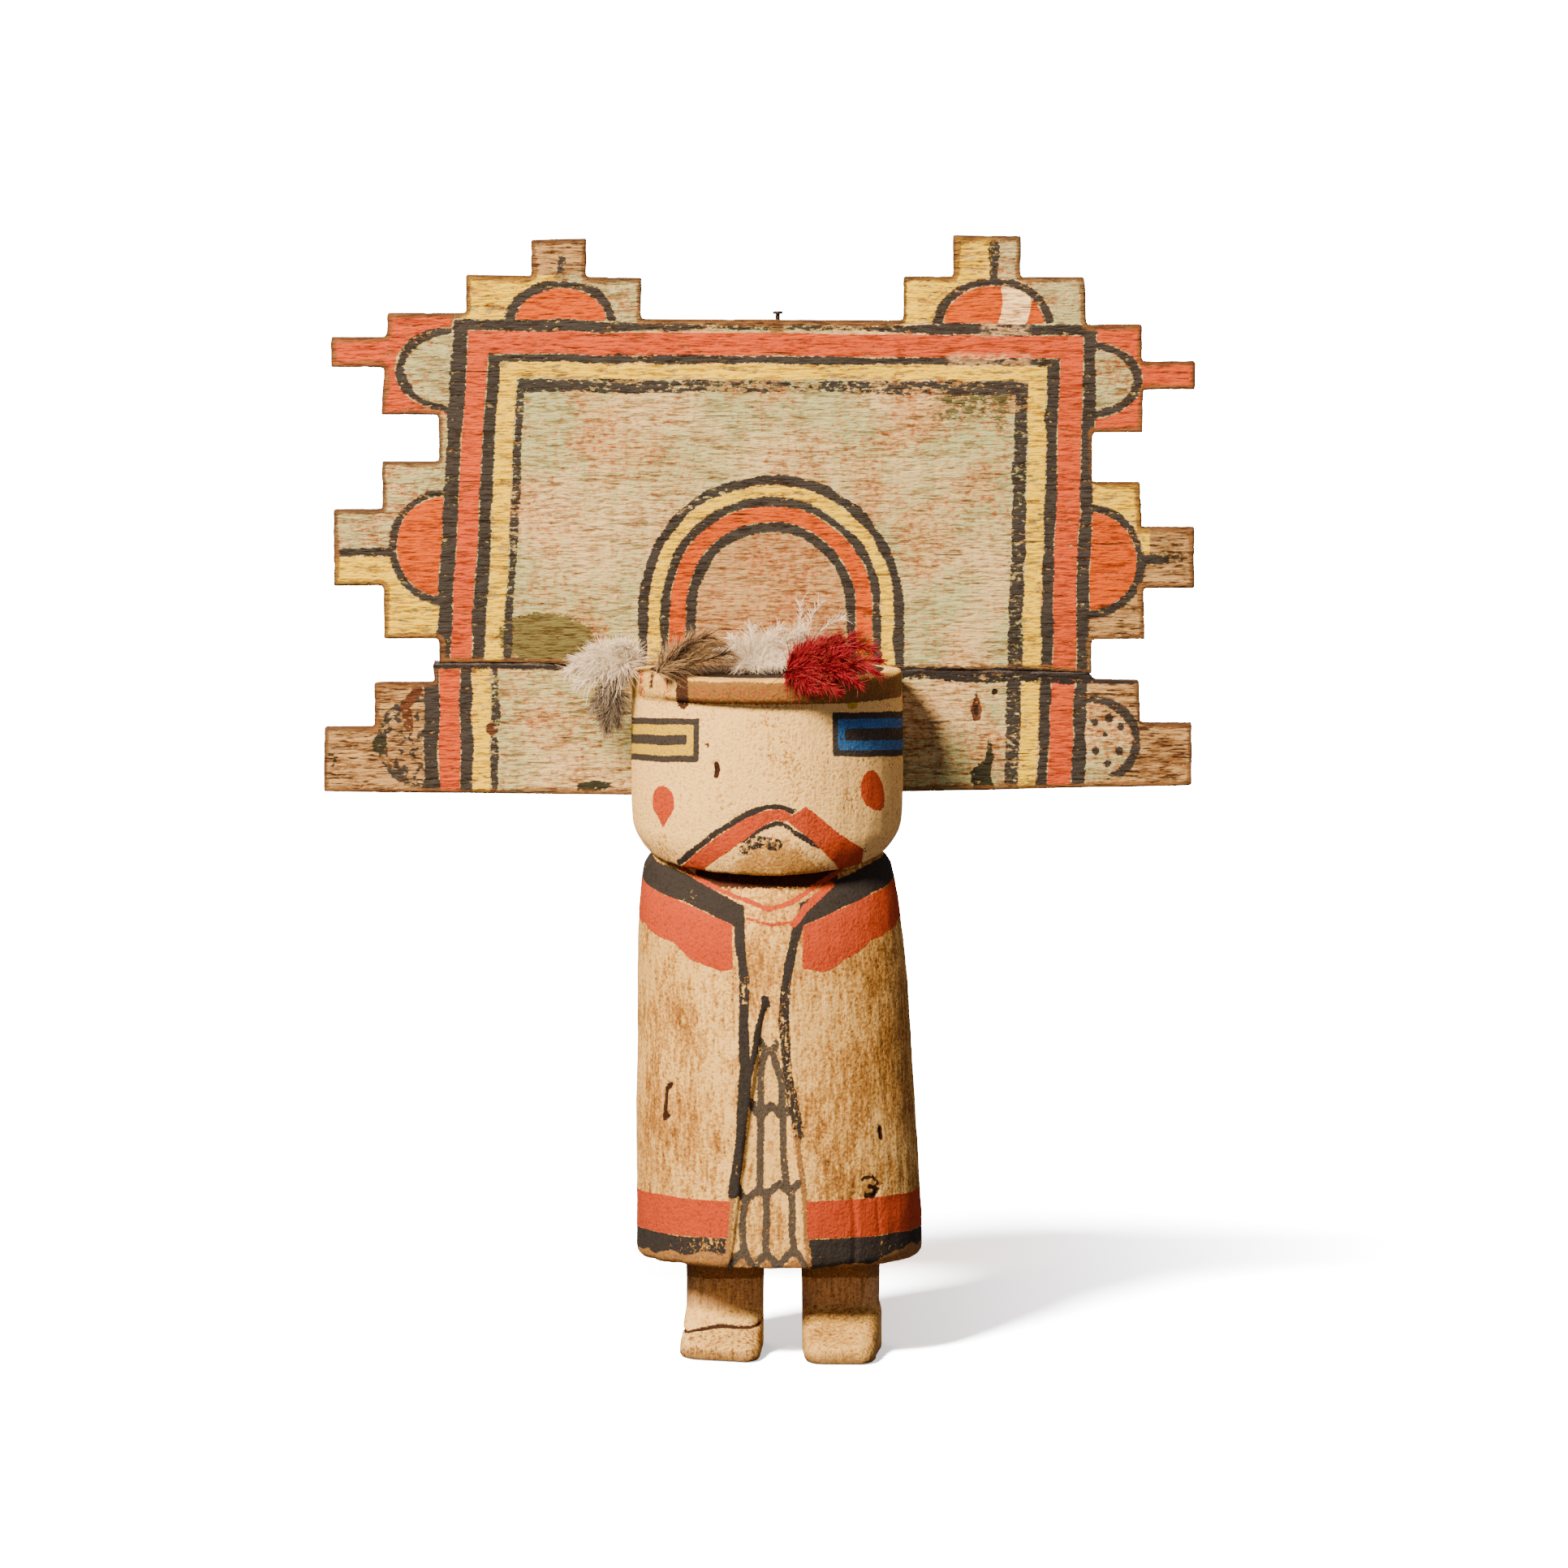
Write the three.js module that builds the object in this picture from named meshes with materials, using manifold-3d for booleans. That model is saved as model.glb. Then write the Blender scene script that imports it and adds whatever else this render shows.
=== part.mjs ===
// A carved and painted doll of cottonwood root: a standing figure in a long robe, with a stepped
// headboard of two thin boards seated against the back of its head, loose feathers on the crown
// and one small nail in the headboard's top edge.
//
// Millimetres, +Z up. The figure faces -Y, and +X is on the viewer's right. The parts are laid out
// about the axis of the head, with the soles at Z = 0, and the whole group is then shifted so that
// the middle of its footprint is the origin.

import * as THREE from 'three';
import { mergeVertices } from 'three/addons/utils/BufferGeometryUtils.js';
import Module from 'manifold-3d';

const wasm = await Module();
wasm.setup();

// Driving dimensions

const ROUND_SIDES = 44;
const FIT_GAP = 0.3;

const CROWN_Z = 183.8;
const HEAD = { halfWidth: 36.5, front: 31, back: 31, bottomZ: 135.8, chinDrop: 6, chinReach: 14 };
const BROW = { halfWidth: 36.2, front: 34.2, bottomZ: 177.6, edge: 0.8 };
const SEAT = { y: 14, ledgeZ: 147.9 };

const ROBE = { hemZ: 25.6, front: 31, back: 30, neckTopZ: 141 };
const SLIT = [
  { z: 20, left: -10.8, right: 11.2, depth: 3.3 },
  { z: 62, left: -6, right: 7, depth: 2.7 },
  { z: 82, left: -3, right: 4.2, depth: 2.2 },
  { z: 99.3, left: -0.5, right: 0.5, depth: 1.4 },
];

const LEG = { frontY: -7, backY: 17, topZ: 31, corner: 5, edge: 0.8 };
// The slant draws the outer corner of a toe back, and the crease is a step carved across the instep.
const FEET = [
  {
    leg: [-21.7, -0.9],
    heel: [-22, -1],
    toe: [-23.6, -1.6],
    toeY: -26,
    slant: 8,
    crease: 0.9,
  },
  {
    leg: [9.4, 30.3],
    heel: [9.4, 31.2],
    toe: [9.9, 29.3],
    toeY: -29.4,
    slant: 1,
    crease: 0,
  },
];
const FOOT = {
  instepZ: 14.5,
  toeZ: 5.6,
  shoulder: 3,
  soleEdge: 0.6,
  heelInset: 6,
  creaseShare: 0.45,
  fullWidthShare: 0.62,
  fullDropShare: 0.85,
  slices: [
    { share: 0, drawIn: 0 },
    { share: 0.22, drawIn: 0 },
    { share: 0.4, drawIn: 0 },
    { share: 0.45, drawIn: 0 },
    { share: 0.6, drawIn: 0 },
    { share: 0.75, drawIn: 0 },
    { share: 0.87, drawIn: 0.6 },
    { share: 0.95, drawIn: 1.7 },
    { share: 1, drawIn: 3.4 },
  ],
};

const BOARD_THICKNESS = 5;
const BOARD_FRONT_Y = SEAT.y + FIT_GAP;
const PANEL = { leftX: -88.4, rightX: 87.6, topLeftZ: 277.3, topRightZ: 276.2 };
const JOINT = { leftZ: 184, rightZ: 181.4, wave: 0.45, steps: 10 };
const LOWER_BOARD = { leftX: -90.3, bottomLeftZ: 149.3, bottomMidZ: 148.5, bottomRightZ: 151 };

// Each terrace is a block with a prong on it. Its places run along the board's edge, its reaches
// run out from that edge, and lean is how much further out the block stands at its second end.
const LEFT_TERRACES = [
  { block: [190.9, 238.7], reach: 14.9, lean: 0.4, prong: [205.1, 225.7], tip: 28.4, tipLean: 0 },
  { block: [251.2, 278.6], reach: 15.4, lean: -1.7, prong: [264, 272.2], tip: 28.9, tipLean: 0 },
];
const RIGHT_TERRACES = [
  { block: [275.4, 246.4], reach: 13.2, lean: 0.5, prong: [265.6, 258], tip: 27.6, tipLean: 0 },
  { block: [233.1, 190.5], reach: 13, lean: 1.4, prong: [221, 204.5], tip: 27.6, tipLean: 0 },
];
const TOP_TERRACES = [
  { block: [-80.9, -33.8], reach: 11.6, lean: -0.7, prong: [-63.4, -48.5], tip: 21, tipLean: 0.5 },
  { block: [36.7, 85.3], reach: 11.9, lean: 0.2, prong: [50, 68.2], tip: 23, tipLean: -0.1 },
];
const LOWER_LEFT_STEP = { blockZ: 179, blockX: -106, prongZ: 167, tipX: -119.5 };
const LOWER_RIGHT_STEP = { blockZ: 179.6, blockX: 100.4, prongZ: 168, tipX: 114.6 };

const NAIL = { x: 2.9, headRadius: 1.4, headThickness: 0.6, shankRadius: 0.6, proud: 2.3, driven: 6 };

// Each plume is a fan of tufts about its root. A tuft is its end, its width and its thickness.
const PLUMES = [
  {
    name: 'feather_white_left',
    colour: 0xcfc4b4,
    root: [-34, -6, 187],
    tufts: [
      { end: [-54.5, -4, 183.5], width: 12, thickness: 8 },
      { end: [-49, -6, 190], width: 11, thickness: 7 },
      { end: [-40, -4, 191.5], width: 10, thickness: 7 },
      { end: [-43, -3, 173], width: 11, thickness: 6 },
      { end: [-50, -2, 177.5], width: 10, thickness: 7 },
    ],
  },
  {
    name: 'feather_brown',
    colour: 0x7f5a38,
    root: [-28, -26, 186.4],
    tufts: [
      { end: [-10, -19, 192.5], width: 6, thickness: 6 },
      { end: [-14, -20, 195], width: 6, thickness: 6 },
      { end: [-9, -21, 188], width: 5, thickness: 5 },
    ],
  },
  {
    name: 'feather_white_middle',
    colour: 0xd8cdc0,
    root: [3, 4, 188],
    tufts: [
      { end: [-14, 1, 192], width: 9, thickness: 7 },
      { end: [-5, 4, 198], width: 9, thickness: 7 },
      { end: [7, 6, 199], width: 9, thickness: 7 },
      { end: [17, 5, 194], width: 9, thickness: 7 },
    ],
  },
  {
    name: 'feather_red',
    colour: 0xa8161a,
    root: [17, -31, 187.5],
    tufts: [
      { end: [1, -33, 188], width: 9, thickness: 6 },
      { end: [7, -28, 192], width: 10, thickness: 7 },
      { end: [17, -24, 194], width: 11, thickness: 7 },
      { end: [27, -24, 191], width: 10, thickness: 7 },
      { end: [30, -30, 186.5], width: 8, thickness: 6 },
      { end: [9, -41, 180.5], width: 9, thickness: 5 },
      { end: [17, -42, 178.5], width: 10, thickness: 5 },
      { end: [25, -40, 180], width: 9, thickness: 5 },
    ],
  },
];

const FINISH = {
  whitewash: { color: 0xdec39a, roughness: 0.9, metalness: 0 },
  board: { color: 0xd0b48c, roughness: 0.9, metalness: 0 },
  iron: { color: 0x2b2522, roughness: 0.6, metalness: 0.8 },
};

// Solids from meshes, and back

function solidFrom(geometry) {
  const bare = geometry.clone();
  bare.deleteAttribute('normal');
  bare.deleteAttribute('uv');
  const merged = mergeVertices(bare, 1e-4);
  return new wasm.Manifold(
    new wasm.Mesh({
      numProp: 3,
      vertProperties: new Float32Array(merged.attributes.position.array),
      triVerts: new Uint32Array(merged.index.array),
    }),
  );
}

function geometryFrom(solid) {
  const mesh = solid.getMesh();
  const geometry = new THREE.BufferGeometry();
  geometry.setAttribute('position', new THREE.BufferAttribute(mesh.vertProperties, 3));
  geometry.setIndex(new THREE.BufferAttribute(mesh.triVerts, 1));
  geometry.computeVertexNormals();
  return geometry;
}

function join(solids) {
  return solids.reduce((whole, solid) => whole.add(solid));
}

// A closed skin over rings of points. All rings run the same way round, anticlockwise seen from
// the far end, and a flat fan closes each end.
function loft(rings) {
  const count = rings[0].length;
  const points = rings.flat();
  const middle = (ring) => ring.reduce((sum, p) => sum.add(p), new THREE.Vector3()).divideScalar(count);
  const first = points.push(middle(rings[0])) - 1;
  const last = points.push(middle(rings.at(-1))) - 1;
  const faces = [];
  for (let j = 0; j < count; j++) {
    const k = (j + 1) % count;
    for (let i = 0; i + 1 < rings.length; i++) {
      const low = i * count;
      const high = low + count;
      faces.push(low + j, low + k, high + k, low + j, high + k, high + j);
    }
    const top = (rings.length - 1) * count;
    faces.push(first, k, j, last, top + j, top + k);
  }
  const geometry = new THREE.BufferGeometry();
  geometry.setAttribute('position', new THREE.Float32BufferAttribute(points.flatMap((p) => p.toArray()), 3));
  geometry.setIndex(faces);
  return solidFrom(geometry);
}

// A level ring, egg shaped: its front half and its back half have their own depths.
function eggRing({ z, halfWidth, front, back, centreX = 0 }) {
  return Array.from({ length: ROUND_SIDES }, (_, i) => {
    const turn = (2 * Math.PI * i) / ROUND_SIDES;
    const depth = Math.sin(turn) < 0 ? front : back;
    return new THREE.Vector3(centreX + halfWidth * Math.cos(turn), depth * Math.sin(turn), z);
  });
}

function boxSolid(low, high) {
  const size = high.map((value, i) => value - low[i]);
  const geometry = new THREE.BoxGeometry(...size);
  geometry.translate(...low.map((value, i) => value + size[i] / 2));
  return solidFrom(geometry);
}

// Figure, carved from one root

// The head is a short drum. Its lower edge is rounded, and the chin hangs lower in front.
function headSolid() {
  const { halfWidth, front, back, bottomZ, chinDrop, chinReach } = HEAD;
  const levels = [
    { rise: 0, width: 0.82 },
    { rise: 0.5, width: 0.875 },
    { rise: 2, width: 0.912 },
    { rise: 3.6, width: 0.944 },
    { rise: 5.2, width: 0.968 },
    { rise: 7, width: 0.986 },
    { rise: 12, width: 0.998 },
    { rise: 24, width: 1 },
    { rise: 36, width: 0.995 },
    { rise: CROWN_Z - bottomZ, width: 0.985 },
  ];
  const rings = levels.map(({ rise, width }) => {
    const ring = eggRing({
      z: bottomZ + rise,
      halfWidth: halfWidth * width,
      front: front * width,
      back: back * width,
    });
    const hang = Math.max(0, 1 - rise / chinReach);
    ring.forEach((p) => {
      const forward = Math.max(0, -p.y / front);
      p.z -= chinDrop * hang * forward;
    });
    return ring;
  });
  return loft(rings);
}

// The brow is a raised band round the front of the crown. It overhangs the face and dies away
// at the sides.
function browSolid() {
  const { halfWidth, front, bottomZ, edge } = BROW;
  const ring = (z, inset) =>
    eggRing({ z, halfWidth: halfWidth - inset, front: front - inset, back: HEAD.back * 0.9 });
  return loft([
    ring(bottomZ, edge),
    ring(bottomZ + edge, 0),
    ring(CROWN_Z - edge, 0),
    ring(CROWN_Z, edge),
  ]);
}

// The robe widens from the shoulders to the hem and drifts a little to the viewer's right.
// Its chest slopes back under the chin.
function robeSolid() {
  const levels = [
    { z: ROBE.hemZ, halfWidth: 36.9, centreX: 3.2, front: ROBE.front - 1.4, back: ROBE.back - 1.4 },
    { z: ROBE.hemZ + 1.4, halfWidth: 38.4, centreX: 3.3, front: ROBE.front, back: ROBE.back },
    { z: 37.7, halfWidth: 38.5, centreX: 3.3, front: ROBE.front, back: ROBE.back },
    { z: 65.5, halfWidth: 37.8, centreX: 2.4, front: ROBE.front, back: ROBE.back },
    { z: 84, halfWidth: 37, centreX: 2.1, front: 30.7, back: 29.8 },
    { z: 101.6, halfWidth: 36.4, centreX: 1.5, front: 30.2, back: 29.4 },
    { z: 112, halfWidth: 35.7, centreX: 1, front: 29.5, back: 29 },
    { z: 119, halfWidth: 35, centreX: 0.7, front: 27.9, back: 28.5 },
    { z: 124, halfWidth: 34.4, centreX: 0.5, front: 25.2, back: 28 },
    { z: 128.5, halfWidth: 33.7, centreX: 0.3, front: 21.5, back: 27.3 },
    { z: 132, halfWidth: 33, centreX: 0.2, front: 18.8, back: 26.6 },
    { z: 134.2, halfWidth: 31.6, centreX: 0.1, front: 17, back: 25.4 },
    { z: 135.5, halfWidth: 28.6, centreX: 0, front: 15.6, back: 23 },
    { z: ROBE.neckTopZ, halfWidth: 24, centreX: 0, front: 14, back: 20 },
  ];
  return loft(levels.map(eggRing));
}

// The open front of the robe: a narrow triangle, cut deeper towards the hem, its walls leaning in.
function slitCutter() {
  const clearY = -ROBE.front - 10;
  const lean = 0.3;
  const rings = SLIT.map(({ z, left, right, depth }) => [
    new THREE.Vector3(left, clearY, z),
    new THREE.Vector3(right, clearY, z),
    new THREE.Vector3(right - lean, -ROBE.front + depth, z),
    new THREE.Vector3(left + lean, -ROBE.front + depth, z),
  ]);
  return loft(rings);
}

// A level ring with four rounded corners.
function roundedRing(left, right, front, back, corner, z) {
  const perCorner = 4;
  const corners = [
    [right - corner, back - corner, 0],
    [left + corner, back - corner, 1],
    [left + corner, front + corner, 2],
    [right - corner, front + corner, 3],
  ];
  return corners.flatMap(([x, y, quarter]) =>
    Array.from({ length: perCorner }, (_, i) => {
      const turn = (Math.PI / 2) * (quarter + i / (perCorner - 1));
      return new THREE.Vector3(x + corner * Math.cos(turn), y + corner * Math.sin(turn), z);
    }),
  );
}

function legSolid({ leg: [left, right] }) {
  const { frontY, backY, topZ, corner, edge } = LEG;
  return loft([
    roundedRing(left + edge, right - edge, frontY, backY - edge, corner - edge, 0),
    roundedRing(left, right, frontY, backY, corner, edge),
    roundedRing(left, right, frontY, backY, corner, topZ),
  ]);
}

// A foot is a run of upright slices from inside the leg to the toe. Each slice has a flat sole and
// a rounded top, and the last slices draw in to round the toe.
function footSolid({ heel, toe, toeY, slant, crease }) {
  const { heelInset, creaseShare, fullWidthShare, fullDropShare, slices, soleEdge } = FOOT;
  const heelY = LEG.frontY + heelInset;
  const toeWidth = toe[1] - toe[0];
  const rings = slices.map(({ share, drawIn }) => {
    const spread = Math.min(1, share / fullWidthShare);
    const left = THREE.MathUtils.lerp(heel[0], toe[0], spread) + drawIn;
    const right = THREE.MathUtils.lerp(heel[1], toe[1], spread) - drawIn;
    const drop = Math.pow(Math.min(1, share / fullDropShare), 0.8);
    const step = share >= creaseShare ? crease : 0;
    const top = THREE.MathUtils.lerp(FOOT.instepZ, FOOT.toeZ, drop) - step - 0.35 * drawIn;
    const shoulder = Math.min(FOOT.shoulder, top * 0.55);
    const outline = [
      [left, soleEdge],
      [left + soleEdge, 0],
      [right - soleEdge, 0],
      [right, soleEdge],
      [right, top - shoulder],
      [right - shoulder * 0.35, top - shoulder * 0.3],
      [right - shoulder, top],
      [left + shoulder, top],
      [left + shoulder * 0.35, top - shoulder * 0.3],
      [left, top - shoulder],
    ];
    return outline.map(([x, z]) => {
      const outward = Math.max(0, (toe[1] - x) / toeWidth);
      const y = THREE.MathUtils.lerp(heelY, toeY, share) + slant * share * outward ** 2;
      return new THREE.Vector3(x, y, z);
    });
  });
  return loft(rings);
}

function figureSolid() {
  const wood = join([
    robeSolid(),
    headSolid(),
    browSolid(),
    ...FEET.map(legSolid),
    ...FEET.map(footSolid),
  ]);
  const far = 80;
  const seatCutter = boxSolid([-far, SEAT.y, SEAT.ledgeZ], [far, far, CROWN_Z + far]);
  return wood.subtract(slitCutter()).subtract(seatCutter);
}

// Headboard, two boards edge to edge

// The joint falls a little to the right and wanders as a split along the grain does.
function jointLine(leftX, rightX, offset) {
  const { leftZ, rightZ, wave, steps } = JOINT;
  return Array.from({ length: steps + 1 }, (_, i) => {
    const share = i / steps;
    const wander = wave * Math.sin(share * 9.4) + 0.5 * wave * Math.sin(share * 23);
    const z = THREE.MathUtils.lerp(leftZ, rightZ, share) + wander + offset;
    return new THREE.Vector2(THREE.MathUtils.lerp(leftX, rightX, share), z);
  });
}

// The eight corners of a terrace, as places along the edge and reaches out from it.
function terraceCorners({ block, reach, lean, prong, tip, tipLean }) {
  const share = (place) => (place - block[0]) / (block[1] - block[0]);
  const face = (place) => reach + lean * share(place);
  return [
    [block[0], 0],
    [block[0], face(block[0])],
    [prong[0], face(prong[0])],
    [prong[0], tip],
    [prong[1], tip + tipLean],
    [prong[1], face(prong[1])],
    [block[1], face(block[1])],
    [block[1], 0],
  ];
}

function upperBoardOutline() {
  const { leftX, rightX, topLeftZ, topRightZ } = PANEL;
  const topEdgeZ = (x) => THREE.MathUtils.mapLinear(x, leftX, rightX, topLeftZ, topRightZ);
  const left = LEFT_TERRACES.flatMap(terraceCorners).map(([z, out]) => new THREE.Vector2(leftX - out, z));
  const right = RIGHT_TERRACES.flatMap(terraceCorners).map(([z, out]) => new THREE.Vector2(rightX + out, z));
  const top = TOP_TERRACES.flatMap(terraceCorners).map(([x, out]) => new THREE.Vector2(x, topEdgeZ(x) + out));
  const leftCornerZ = left.at(-2).y;
  const rightCornerZ = right[1].y;
  // The corner terraces run straight into the crests, so their inner corners are left out.
  const crests = [
    new THREE.Vector2(top[0].x, leftCornerZ),
    ...top.slice(1, -1),
    new THREE.Vector2(top.at(-1).x + 0.6, rightCornerZ),
  ];
  const foot = jointLine(leftX, rightX, FIT_GAP / 2);
  return [...left.slice(0, -1), ...crests, ...right.slice(1), ...foot.reverse()];
}

function lowerBoardOutline() {
  const { leftX, bottomLeftZ, bottomMidZ, bottomRightZ } = LOWER_BOARD;
  const l = LOWER_LEFT_STEP;
  const r = LOWER_RIGHT_STEP;
  const points = [
    [leftX + 0.6, l.blockZ],
    [l.blockX, l.blockZ],
    [l.blockX, l.prongZ],
    [l.tipX, l.prongZ],
    [l.tipX - 0.3, bottomLeftZ],
    [-HEAD.halfWidth, bottomMidZ],
    [HEAD.halfWidth, bottomMidZ + 0.8],
    [r.tipX + 0.2, bottomRightZ],
    [r.tipX, r.prongZ],
    [r.blockX + 0.3, r.prongZ],
    [r.blockX, r.blockZ],
    [PANEL.rightX + 0.4, r.blockZ + 0.2],
  ];
  const head = jointLine(leftX, PANEL.rightX, -FIT_GAP / 2);
  return [...points.map(([x, z]) => new THREE.Vector2(x, z)), ...head.reverse()];
}

// A board stands upright: its outline is drawn in X and Z, and its thickness runs back along +Y.
function boardSolid(outline) {
  const geometry = new THREE.ExtrudeGeometry(new THREE.Shape(outline), {
    depth: BOARD_THICKNESS,
    bevelEnabled: false,
  });
  geometry.rotateX(Math.PI / 2);
  geometry.translate(0, BOARD_FRONT_Y + BOARD_THICKNESS, 0);
  return solidFrom(geometry);
}

function nailGeometry() {
  const { headRadius, headThickness, shankRadius, proud, driven } = NAIL;
  const profile = [
    [0, -driven],
    [shankRadius, -driven + 1.2],
    [shankRadius, proud - headThickness],
    [headRadius, proud - headThickness],
    [headRadius, proud - 0.15],
    [headRadius - 0.25, proud],
    [0, proud],
  ];
  const geometry = new THREE.LatheGeometry(
    profile.map(([r, h]) => new THREE.Vector2(r, h)),
    12,
  );
  geometry.rotateX(Math.PI / 2);
  return geometryFrom(solidFrom(geometry));
}

const nailPlace = new THREE.Vector3(
  NAIL.x,
  BOARD_FRONT_Y + BOARD_THICKNESS / 2,
  THREE.MathUtils.mapLinear(NAIL.x, PANEL.leftX, PANEL.rightX, PANEL.topLeftZ, PANEL.topRightZ),
);

function nailHole() {
  const geometry = new THREE.CylinderGeometry(
    NAIL.shankRadius + FIT_GAP,
    NAIL.shankRadius + FIT_GAP,
    2 * (NAIL.driven + FIT_GAP),
    12,
  );
  geometry.rotateX(Math.PI / 2);
  geometry.translate(...nailPlace.toArray());
  return solidFrom(geometry);
}

// Feathers

// A tuft is a stretched ball that runs from the plume's root to the tuft's end.
function tuftSolid(root, { end, width, thickness }) {
  const from = new THREE.Vector3(...root);
  const to = new THREE.Vector3(...end);
  const along = to.clone().sub(from);
  const geometry = new THREE.SphereGeometry(1, 9, 6);
  geometry.scale(width / 2, along.length() / 2 + 1.5, thickness / 2);
  const turn = new THREE.Quaternion().setFromUnitVectors(new THREE.Vector3(0, 1, 0), along.clone().normalize());
  geometry.applyQuaternion(turn);
  geometry.translate(...from.add(to).divideScalar(2).toArray());
  return solidFrom(geometry);
}

// A plume is trimmed by what it lies on and leans against, so that it only touches.
function plumeSolid({ root, tufts }, neighbours) {
  const plume = join(tufts.map((tuft) => tuftSolid(root, tuft)));
  return neighbours.reduce((rest, solid) => rest.subtract(solid), plume);
}

function crownClearance() {
  const ring = (z, extra) =>
    eggRing({
      z,
      halfWidth: HEAD.halfWidth + extra,
      front: BROW.front + extra,
      back: HEAD.back + extra,
    });
  return loft([ring(HEAD.bottomZ - 10, FIT_GAP * 2), ring(CROWN_Z + FIT_GAP, FIT_GAP * 2)]);
}

function boardClearance() {
  const far = 150;
  return boxSolid([-far, BOARD_FRONT_Y - FIT_GAP, LOWER_BOARD.bottomMidZ], [far, far, 2 * far]);
}

// The doll

function piece(name, geometry, finish) {
  const mesh = new THREE.Mesh(geometry, new THREE.MeshStandardMaterial(finish));
  mesh.name = name;
  return mesh;
}

const doll = new THREE.Group();
doll.add(piece('figure', geometryFrom(figureSolid()), FINISH.whitewash));

const headboard = new THREE.Group();
const upperBoard = boardSolid(upperBoardOutline()).subtract(nailHole());
headboard.add(piece('tablita_upper_board', geometryFrom(upperBoard), FINISH.board));
headboard.add(piece('tablita_lower_board', geometryFrom(boardSolid(lowerBoardOutline())), FINISH.board));
const nail = piece('nail', nailGeometry(), FINISH.iron);
nail.position.copy(nailPlace);
headboard.add(nail);
doll.add(headboard);

const feathers = new THREE.Group();
const clearances = [crownClearance(), boardClearance()];
PLUMES.forEach((plume) => {
  const finish = { color: plume.colour, roughness: 1, metalness: 0 };
  feathers.add(piece(plume.name, geometryFrom(plumeSolid(plume, clearances)), finish));
});
doll.add(feathers);

const extent = new THREE.Box3().setFromObject(doll);
const middle = extent.getCenter(new THREE.Vector3());
doll.children.forEach((child) => child.position.sub(new THREE.Vector3(middle.x, middle.y, extent.min.z)));

export default doll;
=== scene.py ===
"""Looks of a carved and painted wooden doll with a stepped headboard and loose feathers.

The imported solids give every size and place. Each carved piece is a fine skin laid over its solid,
with grain, tool marks and damage cut into the mesh. Paint is laid out in doll millimetres: x from
the axis of the head, y back from it, z up from the soles. A paint area is kept on the skin as a
field that says how many millimetres inside the area each point lies, and the materials turn the
fields into coats of paint with ragged, worn edges.
"""

import itertools
import math

import bpy
import numpy as np
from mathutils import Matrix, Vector, kdtree


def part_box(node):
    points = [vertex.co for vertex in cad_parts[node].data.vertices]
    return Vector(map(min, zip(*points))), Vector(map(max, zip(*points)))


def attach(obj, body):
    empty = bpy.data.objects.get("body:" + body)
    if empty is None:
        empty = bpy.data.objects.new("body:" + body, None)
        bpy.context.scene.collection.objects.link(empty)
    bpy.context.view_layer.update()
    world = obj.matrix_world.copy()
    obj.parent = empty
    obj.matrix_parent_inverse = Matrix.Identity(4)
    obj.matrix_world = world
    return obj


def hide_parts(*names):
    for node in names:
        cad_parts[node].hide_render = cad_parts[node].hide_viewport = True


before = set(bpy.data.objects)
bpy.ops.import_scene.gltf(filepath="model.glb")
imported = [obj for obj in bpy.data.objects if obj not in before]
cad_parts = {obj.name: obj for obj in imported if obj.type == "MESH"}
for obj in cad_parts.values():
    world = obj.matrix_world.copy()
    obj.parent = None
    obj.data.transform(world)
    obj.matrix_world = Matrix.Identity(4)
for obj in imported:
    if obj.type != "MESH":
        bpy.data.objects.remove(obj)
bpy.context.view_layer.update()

MM = 0.001
ROOT_BODY = "root"

# Doll axes, found from the nail and from the headboard's front face
NAIL_X = 2.9
BOARD_FRONT_Y = 14.3
nail_low, nail_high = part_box("nail")
board_low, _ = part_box("tablita_upper_board")
AXIS = Vector(((nail_low.x + nail_high.x) / 2 - NAIL_X * MM, board_low.y - BOARD_FRONT_Y * MM, 0))

# Photograph's camera, light and floor
CAMERA_DISTANCE = 2.5
CAMERA_ELEVATION = math.radians(5.5)
CAMERA_TARGET = AXIS + Vector((4.575 * MM, 0, 152.9 * MM))
SENSOR_WIDTH = 36.0
PIXELS_PER_MM = 4.59
IMAGE_WIDTH = 1932
WARM_LIGHT = (1.0, 0.71, 0.47)
SOFT_LIGHT = (1.0, 0.74, 0.70)
ROOM_GLOW = 0.2
KEY_AZIMUTH = 33
WHITE_OUT = 18.0
FLOOR_SIZE = 12
FLOOR_GAP = 0.2 * MM
FLOOR_SUN = 90
FLOOR_SUN_ANGLE = math.radians(11)
SHADOW_GLOW = 0.8
FADE_START = 0.03
FADE_END = 0.19

# Carved sizes that the paint and the relief follow
CROWN_Z = 183.8
HEAD_RADIUS = (36.5, 34.2)
ROBE_DRIFT = ((25, 3.3), (65, 2.4), (100, 1.5), (136, 0.0))
ARC_MM_PER_DEGREE = 0.6
JOINT_ENDS = ((-90.3, 184.0), (87.6, 181.4))
BOARD_THICK = 5.0

# Bead of pitch, nail, barbs and skins
PITCH_RADIUS = 0.9
PITCH_SHORT = 1.0
PITCH_SIDES = 24
PITCH_RINGS = 100
NAIL_SIDES = 20
NAIL_SHANK = 0.6
NAIL_HEAD_SPREAD = 2.3
NAIL_HEAD_THICK = 0.5
NAIL_HEAD_ROOM = 0.7
NAIL_CROWN_INSET = 0.3
NAIL_CROWN_RISE = 0.15
BARB_STEPS = 5
BOARD_SKIN = 0.75
FIGURE_SKIN = 0.85


# Mesh helpers

def select_only(piece):
    bpy.ops.object.select_all(action="DESELECT")
    piece.select_set(True)
    bpy.context.view_layer.objects.active = piece


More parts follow.
